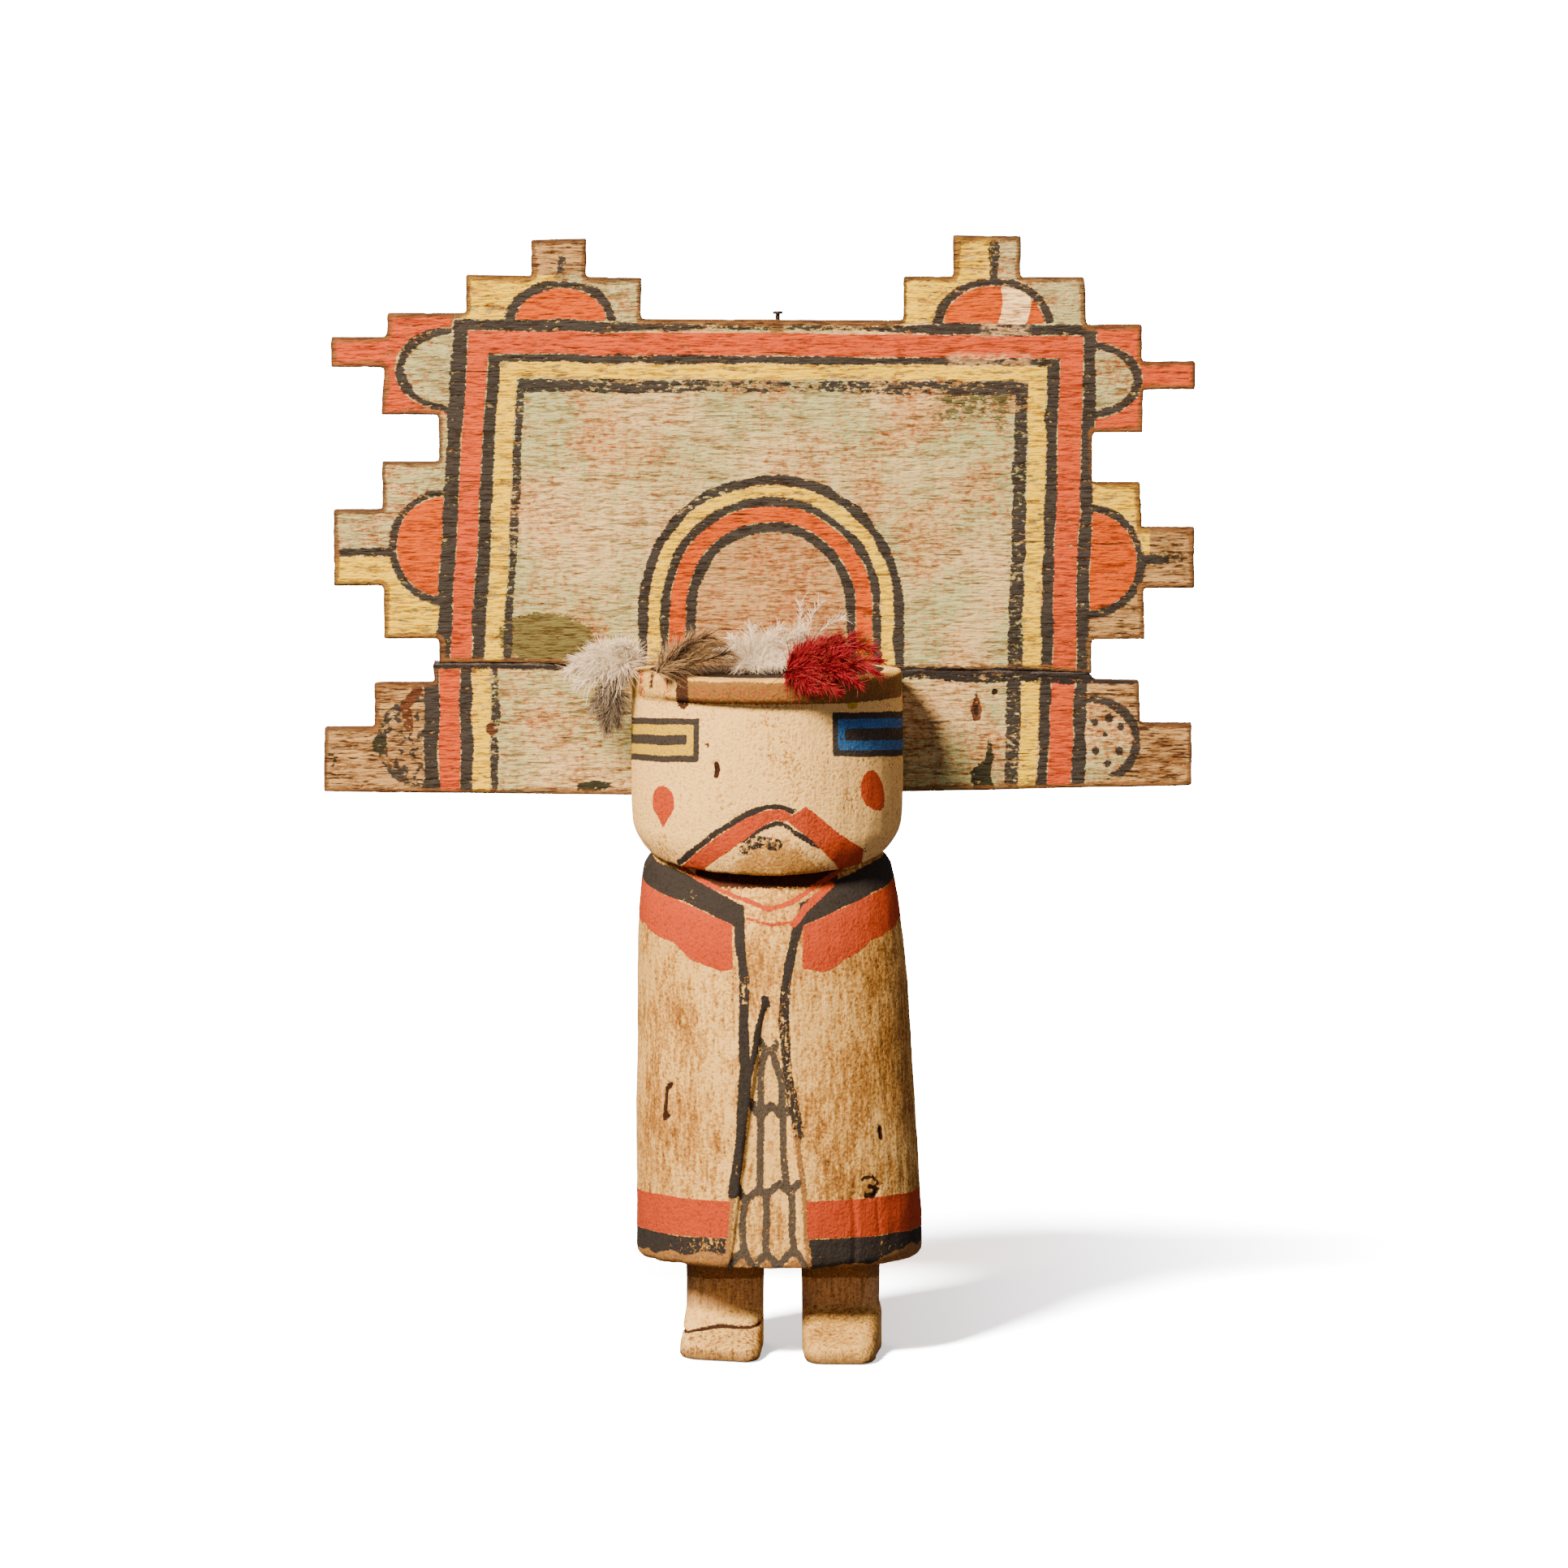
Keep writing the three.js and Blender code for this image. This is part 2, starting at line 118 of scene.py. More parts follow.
def skin_over(node, name, voxel_mm, soft_steps):
    """A fine, even mesh over a copy of a solid, with its hard edges rubbed soft."""
    piece = bpy.data.objects.new(name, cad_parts[node].data.copy())
    bpy.context.scene.collection.objects.link(piece)
    piece.data.materials.clear()
    select_only(piece)
    bpy.ops.object.mode_set(mode="EDIT")
    bpy.ops.mesh.select_all(action="SELECT")
    bpy.ops.mesh.remove_doubles(threshold=0.01 * MM)
    bpy.ops.object.mode_set(mode="OBJECT")
    piece.data.remesh_voxel_size = voxel_mm * MM
    bpy.ops.object.voxel_remesh()
    rub = piece.modifiers.new("rubbed_edges", "SMOOTH")
    rub.factor = 0.5
    rub.iterations = soft_steps
    bpy.ops.object.modifier_apply(modifier=rub.name)
    bpy.ops.object.shade_smooth()
    return piece


def doll_points(piece):
    """The piece's points in doll millimetres, and its normals."""
    count = len(piece.data.vertices)
    points = np.empty(count * 3, np.float32)
    normals = np.empty(count * 3, np.float32)
    piece.data.vertices.foreach_get("co", points)
    piece.data.vertex_normals.foreach_get("vector", normals)
    points = (points.reshape(-1, 3).astype(float) - np.array(AXIS)) / MM
    return points, normals.reshape(-1, 3).astype(float)


def place_points(piece, points):
    piece.data.vertices.foreach_set("co", (points * MM + np.array(AXIS)).astype(np.float32).ravel())
    piece.data.update()


def keep_field(piece, name, values):
    layer = piece.data.attributes.new(name, "FLOAT", "POINT")
    layer.data.foreach_set("value", np.asarray(values, np.float32))


def finish_piece(piece, material, node):
    piece.data.materials.clear()
    piece.data.materials.append(material)
    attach(piece, ROOT_BODY)
    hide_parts(node)


# Fields over points: positive inside, in millimetres

LATTICE = 32


def cloud(points, size, seed):
    """Smooth noise from -1 to 1, in patches of the given size along each axis."""
    lattice = np.random.default_rng(seed).uniform(-1, 1, (LATTICE,) * 3)
    place = points / np.asarray(size, float)
    low = np.floor(place).astype(int)
    share = place - low
    share = share * share * (3 - 2 * share)
    total = np.zeros(len(points))
    for corner in itertools.product((0, 1), repeat=3):
        weight = np.prod(np.where(corner, share, 1 - share), axis=1)
        at = (low + np.array(corner)) % LATTICE
        total += weight * lattice[at[:, 0], at[:, 1], at[:, 2]]
    return total


def band(value, low, high):
    return np.minimum(value - low, high - value)


def oval(a, b, centre, radii):
    spread = np.hypot((a - centre[0]) / radii[0], (b - centre[1]) / radii[1])
    return (1 - spread) * min(radii)


def nearest_on_route(a, b, route):
    """Distance from each point to a route of straight runs."""
    best = np.full(len(a), np.inf)
    for (a0, b0), (a1, b1) in zip(route, route[1:]):
        run_a = a1 - a0
        run_b = b1 - b0
        share = ((a - a0) * run_a + (b - b0) * run_b) / (run_a ** 2 + run_b ** 2)
        share = np.clip(share, 0, 1)
        best = np.minimum(best, np.hypot(a - a0 - share * run_a, b - b0 - share * run_b))
    return best


def stroke(a, b, route, width):
    return width / 2 - nearest_on_route(a, b, route)


def stroke_ring(a, b, centre, radius, width):
    return width / 2 - np.abs(np.hypot(a - centre[0], b - centre[1]) - radius)


def shape(a, b, outline):
    """Inside of a closed outline."""
    closed = list(outline) + [outline[0]]
    inside = np.zeros(len(a), bool)
    for (a0, b0), (a1, b1) in zip(closed, closed[1:]):
        spans = (b0 > b) != (b1 > b)
        rise = np.where(b1 == b0, 1, b1 - b0)
        inside ^= spans & (a < a0 + (b - b0) * (a1 - a0) / rise)
    distance = nearest_on_route(a, b, closed)
    return np.where(inside, distance, -distance)


def either(*fields):
    return np.maximum.reduce(fields)


def both(*fields):
    return np.minimum.reduce(fields)


def along(value, table):
    places, results = zip(*table)
    return np.interp(value, places, results)


# Camera, lights and floor

def make_camera():
    data = bpy.data.cameras.new("photo_camera")
    data.sensor_width = SENSOR_WIDTH
    data.lens = SENSOR_WIDTH * PIXELS_PER_MM * CAMERA_DISTANCE / MM / IMAGE_WIDTH
    camera = bpy.data.objects.new("photo_camera", data)
    bpy.context.scene.collection.objects.link(camera)
    back = Vector((0, -math.cos(CAMERA_ELEVATION), math.sin(CAMERA_ELEVATION)))
    camera.location = CAMERA_TARGET + back * CAMERA_DISTANCE
    camera.rotation_euler = (math.pi / 2 - CAMERA_ELEVATION, 0, 0)
    bpy.context.scene.camera = camera


def toward_light(azimuth, elevation):
    """The way from the doll to a light. Azimuth is to the viewer's left of the camera, in degrees."""
    turn = math.radians(azimuth)
    tilt = math.radians(elevation)
    return Vector((-math.sin(turn) * math.cos(tilt), -math.cos(turn) * math.cos(tilt), math.sin(tilt)))


def area_light(name, azimuth, elevation, distance, size, watts, colour):
    """A soft panel that faces the doll."""
    data = bpy.data.lights.new(name, "AREA")
    data.shape = "DISK"
    data.size = size
    data.energy = watts
    data.color = colour
    lamp = bpy.data.objects.new(name, data)
    bpy.context.scene.collection.objects.link(lamp)
    way = toward_light(azimuth, elevation)
    lamp.location = CAMERA_TARGET + way * distance
    lamp.rotation_euler = way.to_track_quat("Z", "Y").to_euler()


def make_lights():
    area_light("key_panel", KEY_AZIMUTH, elevation=37, distance=1.6, size=0.42, watts=106, colour=WARM_LIGHT)
    area_light("fill_panel", -50, elevation=15, distance=2.0, size=1.0, watts=3, colour=SOFT_LIGHT)
    area_light("back_panel", 160, elevation=28, distance=2.0, size=1.0, watts=20, colour=SOFT_LIGHT)


def make_world():
    """White to the camera, and a weak warm glow to everything else."""
    world = bpy.data.worlds.new("white_room")
    bpy.context.scene.world = world
    world.use_nodes = True
    nodes = world.node_tree.nodes
    links = world.node_tree.links
    nodes.clear()
    output = nodes.new("ShaderNodeOutputWorld")
    path = nodes.new("ShaderNodeLightPath")
    seen = nodes.new("ShaderNodeBackground")
    seen.inputs["Color"].default_value = (1, 1, 1, 1)
    seen.inputs["Strength"].default_value = WHITE_OUT
    room = nodes.new("ShaderNodeBackground")
    room.inputs["Color"].default_value = (*SOFT_LIGHT, 1)
    room.inputs["Strength"].default_value = ROOM_GLOW
    pick = nodes.new("ShaderNodeMixShader")
    links.new(path.outputs["Is Camera Ray"], pick.inputs["Fac"])
    links.new(room.outputs["Background"], pick.inputs[1])
    links.new(seen.outputs["Background"], pick.inputs[2])
    links.new(pick.outputs["Shader"], output.inputs["Surface"])


def make_floor():
    """White paper with its own sun, so that it stays white beside the doll's soft shadow.

    The paper glows more the farther it lies from the doll, which fades the shadow out.
    """
    bpy.ops.object.select_all(action="DESELECT")
    bpy.ops.mesh.primitive_plane_add(size=FLOOR_SIZE, location=(0, 0, -FLOOR_GAP))
    floor = bpy.context.active_object
    floor.name = "studio_floor"
    material, t, shader = new_material("floor_paper")
    shader.inputs["Base Color"].default_value = (0.9, 0.9, 0.9, 1)
    shader.inputs["Roughness"].default_value = 1.0
    shader.inputs["Specular IOR Level"].default_value = 0.0
    place = t.add("ShaderNodeSeparateXYZ")
    t.links.new(t.add("ShaderNodeTexCoord").outputs["Object"], place.inputs[0])
    fade = t.add("ShaderNodeMapRange", interpolation_type="LINEAR")
    t.links.new(place.outputs["X"], fade.inputs["Value"])
    fade.inputs["From Min"].default_value = FADE_START
    fade.inputs["From Max"].default_value = FADE_END
    fade.inputs["To Min"].default_value = math.log(SHADOW_GLOW / WHITE_OUT)
    fade.inputs["To Max"].default_value = 0.0
    glow = t.math("EXPONENT", fade.outputs["Result"])
    t.links.new(glow, shader.inputs["Emission Color"])
    shader.inputs["Emission Strength"].default_value = WHITE_OUT
    floor.data.materials.append(material)
    floor.visible_diffuse = False
    floor.visible_glossy = False

    data = bpy.data.lights.new("floor_sun", "SUN")
    data.energy = FLOOR_SUN
    data.angle = FLOOR_SUN_ANGLE
    sun = bpy.data.objects.new("floor_sun", data)
    bpy.context.scene.collection.objects.link(sun)
    sun.rotation_euler = toward_light(KEY_AZIMUTH, elevation=46).to_track_quat("Z", "Y").to_euler()
    lit = bpy.data.collections.new("lit_by_floor_sun")
    lit.objects.link(floor)
    sun.light_linking.receiver_collection = lit


# Shader helpers

def srgb(red, green, blue):
    """A colour as seen, 0 to 255, as the linear values that shaders take."""
    linear = [((v / 255 + 0.055) / 1.055) ** 2.4 if v > 10 else v / 3294.6 for v in (red, green, blue)]
    return (*linear, 1.0)


class Tree:
    """Short ways to add nodes to one node tree."""

    def __init__(self, tree):
        self.nodes = tree.nodes
        self.links = tree.links

    def feed(self, socket, value):
        if isinstance(value, bpy.types.NodeSocket):
            self.links.new(value, socket)
        else:
            socket.default_value = value

    def add(self, kind, **settings):
        node = self.nodes.new(kind)
        for name, value in settings.items():
            setattr(node, name, value)
        return node

    def math(self, operation, first, second=0.0, third=0.0, clamp=False):
        node = self.add("ShaderNodeMath", operation=operation, use_clamp=clamp)
        self.feed(node.inputs[0], first)
        self.feed(node.inputs[1], second)
        self.feed(node.inputs[2], third)
        return node.outputs[0]

    def step(self, value, low, high, most=1.0):
        """0 below low, most above high, smooth between."""
        node = self.add("ShaderNodeMapRange", interpolation_type="SMOOTHSTEP")
        self.feed(node.inputs["Value"], value)
        self.feed(node.inputs["From Min"], low)
        self.feed(node.inputs["From Max"], high)
        self.feed(node.inputs["To Max"], most)
        return node.outputs["Result"]

    def rest_of(self, value):
        """What is left of 1."""
        return self.math("SUBTRACT", 1.0, value)

    def sway(self, noise, middle, gain, value):
        """A value pushed up and down by a noise about its middle."""
        return self.math("MULTIPLY_ADD", self.math("SUBTRACT", noise, middle), gain, value)

    def mix(self, share, under, over, mode="MIX"):
        node = self.add("ShaderNodeMix", data_type="RGBA", blend_type=mode)
        self.feed(node.inputs["Factor"], share)
        self.feed(node.inputs[6], under)
        self.feed(node.inputs[7], over)
        return node.outputs[2]

    def object_mm(self, stretch):
        """Object coordinates in millimetres, squeezed along each axis by stretch."""
        place = self.add("ShaderNodeTexCoord").outputs["Object"]
        scale = self.add("ShaderNodeVectorMath", operation="MULTIPLY")
        self.links.new(place, scale.inputs[0])
        scale.inputs[1].default_value = [1000 * s for s in stretch]
        return scale.outputs[0]

    def noise(self, vector, scale, detail=2.0, rough=0.5, warp=0.0):
        node = self.add("ShaderNodeTexNoise")
        self.links.new(vector, node.inputs["Vector"])
        node.inputs["Scale"].default_value = scale
        node.inputs["Detail"].default_value = detail
        node.inputs["Roughness"].default_value = rough
        node.inputs["Distortion"].default_value = warp
        return node.outputs["Fac"]

    def field(self, name):
        return self.add("ShaderNodeAttribute", attribute_name=name).outputs["Fac"]

    def group(self, tree, **values):
        node = self.add("ShaderNodeGroup", node_tree=tree)
        for name, value in values.items():
            self.feed(node.inputs[name], value)
        return node


def new_group(name, inputs, outputs):
    tree = bpy.data.node_groups.new(name, "ShaderNodeTree")
    for label, kind in inputs:
        tree.interface.new_socket(label, in_out="INPUT", socket_type=kind)
    for label, kind in outputs:
        tree.interface.new_socket(label, in_out="OUTPUT", socket_type=kind)
    start = tree.nodes.new("NodeGroupInput")
    end = tree.nodes.new("NodeGroupOutput")
    return tree, start.outputs, end.inputs


NUMBER = "NodeSocketFloat"
COLOUR = "NodeSocketColor"


def make_paint_coat():
    """One coat of hand-laid paint over what is under it, ragged at its edge and flaked by wear."""
    inputs = [
        ("Under", COLOUR), ("Paint", COLOUR), ("Reach", NUMBER), ("Ragged", NUMBER),
        ("Edge", NUMBER), ("Worn", NUMBER), ("Flake", NUMBER), ("Mottle", NUMBER), ("Cloud", NUMBER),
    ]
    tree, given, out = new_group("paint_coat", inputs, [("Colour", COLOUR), ("Coat", NUMBER)])
    t = Tree(tree)
    swing = t.math("MULTIPLY", t.math("SUBTRACT", given["Edge"], 0.5), given["Ragged"])
    edge = t.math("ADD", given["Reach"], swing)
    laid = t.step(edge, -0.1, 0.14)
    limit = t.rest_of(given["Worn"])
    kept = t.rest_of(t.step(given["Flake"], limit, t.math("ADD", limit, 0.06)))
    coat = t.math("MULTIPLY", laid, kept)
    tone = t.math("MULTIPLY_ADD", t.math("SUBTRACT", given["Cloud"], 0.5), given["Mottle"], 1.0)
    shaded = t.add("ShaderNodeVectorMath", operation="SCALE")
    t.links.new(given["Paint"], shaded.inputs[0])
    t.links.new(tone, shaded.inputs["Scale"])
    t.links.new(t.mix(coat, given["Under"], shaded.outputs[0]), out["Colour"])
    t.links.new(coat, out["Coat"])
    return tree


PAINT_COAT = make_paint_coat()


class Coats:
    """Coats of paint laid one over another on one material."""

    def __init__(self, tree, ground, edge, flake, cloud_socket):
        self.t = tree
        self.colour = ground
        self.edge = edge
        self.flake = flake
        self.cloud = cloud_socket
        self.cover = 0.0

    def lay(self, field, paint, ragged=0.5, worn=0.0, mottle=0.25):
        coat = self.t.group(
            PAINT_COAT, Under=self.colour, Paint=paint, Reach=self.t.field(field), Ragged=ragged,
            Edge=self.edge, Worn=worn, Flake=self.flake, Mottle=mottle, Cloud=self.cloud,
        )
        self.colour = coat.outputs["Colour"]
        self.cover = self.t.math("MAXIMUM", self.cover, coat.outputs["Coat"])


def new_material(name):
    material = bpy.data.materials.new(name)
    material.use_nodes = True
    tree = Tree(material.node_tree)
    shader = material.node_tree.nodes["Principled BSDF"]
    return material, tree, shader


def bump(tree, height, distance_mm, strength):
    node = tree.add("ShaderNodeBump")
    node.inputs["Distance"].default_value = distance_mm * MM
    node.inputs["Strength"].default_value = strength
    tree.feed(node.inputs["Height"], height)
    return node.outputs["Normal"]


# Headboard

# Painted frame: the edges of its five stripes, from the outermost in
FRAME_LEFT_X = (-87.6, -83.5, -77.8, -74.3, -69.5, -67.1)
FRAME_RIGHT_X = (87.0, 83.5, 77.2, 74.1, 69.3, 65.2)
FRAME_TOP_Z = (276.3, 273.2, 267.0, 265.0, 260.9, 256.9)
FRAME_LEFT_LEAN = 0.055
FRAME_RIGHT_LEAN = 0.025
FRAME_TOP_FALL = -0.008
FRAME_LEFT_MIDDLE_Z = 219.0
FRAME_RIGHT_MIDDLE_Z = 205.0
LOWER_BOARD_MIDDLE_Z = 167.0
LOWER_BOARD_SHIFT = -2.2

ARCH_CENTRE = (1.0, 199.5)
ARCH_RADII = (35.6, 33.0, 29.6, 27.3, 22.9, 20.1)
ARCH_FLARE = 0.0008

# Half ovals on the terraces: the centre on the frame, then the two radii
CLOUDS = {
    "top_left": ((-55.5, 276.6), (15.0, 11.0)),
    "top_right": ((61.1, 275.4), (16.2, 12.8)),
    "left_high": ((-85.0, 263.4), (15.2, 11.4)),
    "right_high": ((86.6, 260.7), (14.2, 10.8)),
    "left_low": ((-86.6, 215.7), (15.4, 15.8)),
    "right_low": ((86.6, 211.6), (15.0, 15.4)),
    "left_foot": ((-91.5, 163.0), (13.8, 13.0)),
    "right_foot": ((86.4, 163.2), (14.6, 12.4)),
}
CLOUD_LINE = 2.1
ORANGE_CLOUDS = ("top_left", "top_right", "left_low", "right_low")
PALE_CLOUDS = ("left_high", "right_high")
SEED_DOTS = (
    (88.4, 168.0), (92.2, 169.1), (95.5, 166.7), (91.3, 164.5), (88.7, 160.3), (95.0, 160.3), (91.8, 156.8),
)
SEED_DOT_RADIUS = 1.0
SPECK_COUNT = 30
GOUGE_OUTLINE = (
    (56.2, 177.6), (57.2, 173.6), (57.9, 171.2), (57.0, 169.0), (55.7, 169.0), (54.8, 171.4), (55.6, 174.0),
)
BLOTCH_OUTLINE = (
    (56.2, 149), (61.6, 149), (60.2, 155), (61.2, 158.5), (59.8, 164.4), (58.6, 158), (54.6, 155),
)
NAIL_HOLE = (61.5, 176.6)
NAIL_HOLE_RADIUS = 0.95
CREST_BARE_Z = 289.0


def frame_insets(x, z):
    """How far inside each line of the painted frame a point lies, from the outermost line in."""
    lower = z < along(x, JOINT_ENDS)
    lean_from = np.where(lower, LOWER_BOARD_MIDDLE_Z, z) - FRAME_LEFT_MIDDLE_Z
    left_shift = FRAME_LEFT_LEAN * lean_from + np.where(lower, LOWER_BOARD_SHIFT, 0)
    right_shift = FRAME_RIGHT_LEAN * (z - FRAME_RIGHT_MIDDLE_Z)
    return [
        both(x - left - left_shift, right + right_shift - x, top + FRAME_TOP_FALL * x - z)
        for left, right, top in zip(FRAME_LEFT_X, FRAME_RIGHT_X, FRAME_TOP_Z)
    ]


def near(a, b, centre, radii):
    """A soft spot: 1 in its middle, 0 from its rim out."""
    return np.clip(1.4 - 1.4 * np.hypot((a - centre[0]) / radii[0], (b - centre[1]) / radii[1]), 0, 1)


def strongest(strokes):
    """Joins strokes of one paint. Each has its field and how far it is rubbed away, from 0 to 1."""
    fields = np.stack([field for field, _ in strokes])
    rubs = np.stack([np.broadcast_to(rub, fields.shape[1]) for _, rub in strokes])
    pick = fields.argmax(axis=0)
    points = np.arange(fields.shape[1])
    return fields[pick, points], rubs[pick, points]


def seed_specks(x, z):
    """Small upright flecks of black in the left foot's half oval."""
    rng = np.random.default_rng(7)
    (centre_x, centre_z), (wide, tall) = CLOUDS["left_foot"]
    specks = []
    for _ in range(SPECK_COUNT):
        turn = rng.uniform(-1.3, 1.3)
        reach = rng.uniform(0.15, 0.85)
        a = centre_x - wide * reach * math.cos(turn)
        b = centre_z + tall * reach * math.sin(turn)
        slant = rng.uniform(-0.6, 0.6)
        tall_by = rng.uniform(0.2, 0.8)
        route = [(a - slant, b - tall_by), (a + slant, b + tall_by)]
        specks.append(stroke(x, z, route, rng.uniform(0.6, 1.1)))
    return either(*specks)


def paint_headboard(piece):
    """Lays out every paint area, line and stain of the two boards."""
    points, normals = doll_points(piece)
    x = points[:, 0] + 0.45 * cloud(points, (9, 9, 9), 11)
    z = points[:, 2] + 0.45 * cloud(points, (9, 9, 9), 12)
    lines = frame_insets(x, z)
    off_frame = -lines[0]
    above_joint = z - along(x, JOINT_ENDS)
    flare = 1 + ARCH_FLARE * (ARCH_CENTRE[1] - z).clip(0)
    spread = np.hypot((x - ARCH_CENTRE[0]) / flare, (z - ARCH_CENTRE[1]).clip(0))
    arch = [both(radius - spread, above_joint + 2) for radius in ARCH_RADII]
    ovals = {name: oval(x, z, centre, radii) for name, (centre, radii) in CLOUDS.items()}
    insides = {name: both(field - CLOUD_LINE, off_frame) for name, field in ovals.items()}
    off_clouds = both(off_frame, *[-field for field in ovals.values()])

    red_tabs = either(both(-84.0 - x, band(z, 251.2, 278.4)), both(x - 86.0, band(z, 246.0, 275.4)))
    bleed = either(oval(x, z, (85.0, 213.6), (3.2, 1.6)), oval(x, z, (76.5, 212.0), (2.4, 1.3)))
    red = either(both(lines[1], -lines[2]), both(red_tabs, off_clouds), bleed)
    yellow_tabs = either(
        both(band(z, 276.2, CREST_BARE_Z), band(x, -82.0, -55.8)),
        both(z - 275.0, band(x, 36.0, 60.4)),
        both(-86.0 - x, band(z, 190.0, 213.0)),
        both(band(x, 86.0, 103.0), band(z, 213.4, 234.0)),
    )
    yellow = either(both(lines[3], -lines[4]), both(arch[1], -arch[2]), both(yellow_tabs, off_clouds))
    green_tabs = either(
        both(band(z, 276.2, CREST_BARE_Z), band(x, -54.8, -30.0)),
        both(z - 275.0, band(x, 62.0, 90.0)),
        both(-86.0 - x, band(z, 214.4, 245.0)),
    )
    green = either(both(green_tabs, off_clouds), *[insides[name] for name in PALE_CLOUDS])
    orange = either(both(arch[3], -arch[4]), *[insides[name] for name in ORANGE_CLOUDS])
    streak_bend = 1.6 * np.sin((z - 275) / 4.2)
    pale_streak = both(insides["top_right"], band(x - streak_bend, 61.6, 69.4))
    chalk = either(
        both(band(x, 48.0, 71.0), band(z, 263.6, 268.4)),
        both(band(x, 57.0, 71.0), band(z, 271.6, 276.6)),
    )
    mould = either(oval(x, z, (52.5, 253.6), (8.0, 4.6)), oval(x, z, (62.5, 254.0), (3.0, 5.0)))

    thick = 0.45 * cloud(points, (5, 9, 5), 13)
    top_middle = near(x, z, (3, 275), (52, 9))
    inner_top = near(x, z, (8, 259), (50, 8))
    lower = above_joint < 0
    strokes = [
        (both(lines[0], -lines[1]) - 0.9 * top_middle, 0.4 + 0.45 * top_middle),
        (both(lines[2], -lines[3]), 0.35),
        (both(lines[4], -lines[5]) - 0.15 - 0.35 * inner_top, 0.72 + 0.2 * inner_top + 0.1 * lower),
        (both(arch[0], -arch[1]), 0.3 + 0.6 * near(x, z, (-17, 229), (15, 11))),
        (both(arch[2], -arch[3]), 0.45),
        (both(arch[4], -arch[5]), 0.15),
        (stroke(x, z, [(-55.6, 287.0), (-55.0, 293.0)], 2.4), 0.85),
        (stroke(x, z, [(60.6, 288.0), (61.0, 297.0)], 2.6), 0.6),
        (stroke(x, z, [(-117.0, 213.9), (-101.0, 214.4)], 2.3), 0.3),
        (stroke(x, z, [(101.0, 212.4), (111.0, 212.6)], 2.4), 0.75),
        (either(*[SEED_DOT_RADIUS - np.hypot(x - a, z - b) for a, b in SEED_DOTS]), 0.2),
        (seed_specks(x, z), 0.35),
    ]
    for name, field in ovals.items():
        faint = 0.9 if name == "left_foot" else 0.5
        reach = off_frame if name != "right_foot" else both(off_frame, z - 153.5)
        strokes.append((both(field, CLOUD_LINE - field, reach), faint))
    black, rubbed = strongest(strokes)
    blotch = either(
        shape(x, z, BLOTCH_OUTLINE),
        oval(x, z, (-47, 151), (5, 1.4)),
        oval(x, z, (-104.6, 162.2), (2.2, 2.6)),
        stroke(x, z, [(-118.2, 159.4), (-116.2, 158.8), (-116.2, 157.0), (-117.6, 156.4)], 0.8),
        stroke(x, z, [(-36, 151), (-36.5, 172)], 0.7),
    )
    smudge = either(
        stroke(x, z, [(-94.4, 177.0), (-97.6, 172.5), (-96.6, 167.0)], 2.6),
        oval(x, z, (-74.3, 166.5), (1.7, 1.7)),
        shape(x, z, GOUGE_OUTLINE) + 0.2,
    )
    hole = NAIL_HOLE_RADIUS - np.hypot(x - NAIL_HOLE[0], z - NAIL_HOLE[1])
    # painted shade: near-black inside the carved gouge and the nail hole
    gouge = either(shape(x, z, GOUGE_OUTLINE) - 0.7, hole)
    pitch_half = along(x, ((-92, 1.0), (-55, 0.7), (-36, 0.6), (36, 1.5), (60, 2.1), (88, 1.6)))
    pitch_drop = along(x, ((-92, -0.2), (-40, -0.2), (36, -0.6), (88, -1.0)))
    bare_tabs = either(
        both(x - 101.0, band(z, 190.0, 235.0)),
        both(x - 86.0, band(z, 188.0, 212.0)),
        both(np.abs(x) - 88.0, 181.0 - z),
        both(z - 275.2, band(x, -30.0, 36.0)),
        both(z - CREST_BARE_Z, band(x, -70.0, -40.0)),
    )

    fields = {
        "red": red, "yellow": yellow, "green": green, "orange": orange, "pale_streak": pale_streak,
        "chalk": chalk, "mould": mould, "stain": oval(x, z, (-59.5, 191.0), (13.0, 6.6)),
        "black": black + thick, "rubbed": rubbed, "blotch": blotch, "smudge": smudge, "gouge": gouge,
        "pitch": pitch_half - np.abs(above_joint - pitch_drop), "arch_floor": both(arch[5], above_joint),
        "bare_wood": either(both(bare_tabs, off_clouds + 1), insides["left_foot"]),
        "lower_board": -above_joint, "tabs": off_frame, "front": -normals[:, 1],
        "rim": distance_from_sides(points, normals),
    }
    for name, values in fields.items():
        keep_field(piece, name, values)


def distance_from_sides(points, normals):
    """Millimetres from each point of a board's faces to its nearest cut edge."""
    side = np.flatnonzero(np.abs(normals[:, 1]) < 0.6)
    tree = kdtree.KDTree(len(side))
    for index in side:
        tree.insert((points[index, 0], 0, points[index, 2]), int(index))
    tree.balance()
    return [tree.find((px, 0, pz))[2] for px, _, pz in points]


def carve_board(piece, seed):
    """Grain ridges on the faces, small chips along the edges, and the board's own hole and gouge."""
    points, normals = doll_points(piece)
    x = points[:, 0]
    z = points[:, 2]
    ridges = 0.12 * cloud(points, (20, 60, 1.8), seed) + 0.10 * cloud(points, (45, 60, 5.0), seed + 1)
    chips = cloud(points, (3.5, 6, 1.6), seed + 2) + 0.6 * cloud(points, (1.8, 3, 1.2), seed + 3)
    on_edge = 1 - np.abs(normals[:, 1])
    depth = ridges - 0.4 * on_edge * chips.clip(0.2) ** 1.5
    facing = normals[:, 1] < -0.5
    hole = NAIL_HOLE_RADIUS - np.hypot(x - NAIL_HOLE[0], z - NAIL_HOLE[1])
    depth -= facing * either(shape(x, z, GOUGE_OUTLINE), hole).clip(0, 1.0)
    split = stroke(x, z, [(103.0, 211.2), (109.0, 211.6), (118.0, 210.4)], 1.0)
    depth -= facing * 1.2 * split.clip(0, 0.5)
    place_points(piece, points + normals * depth[:, None])


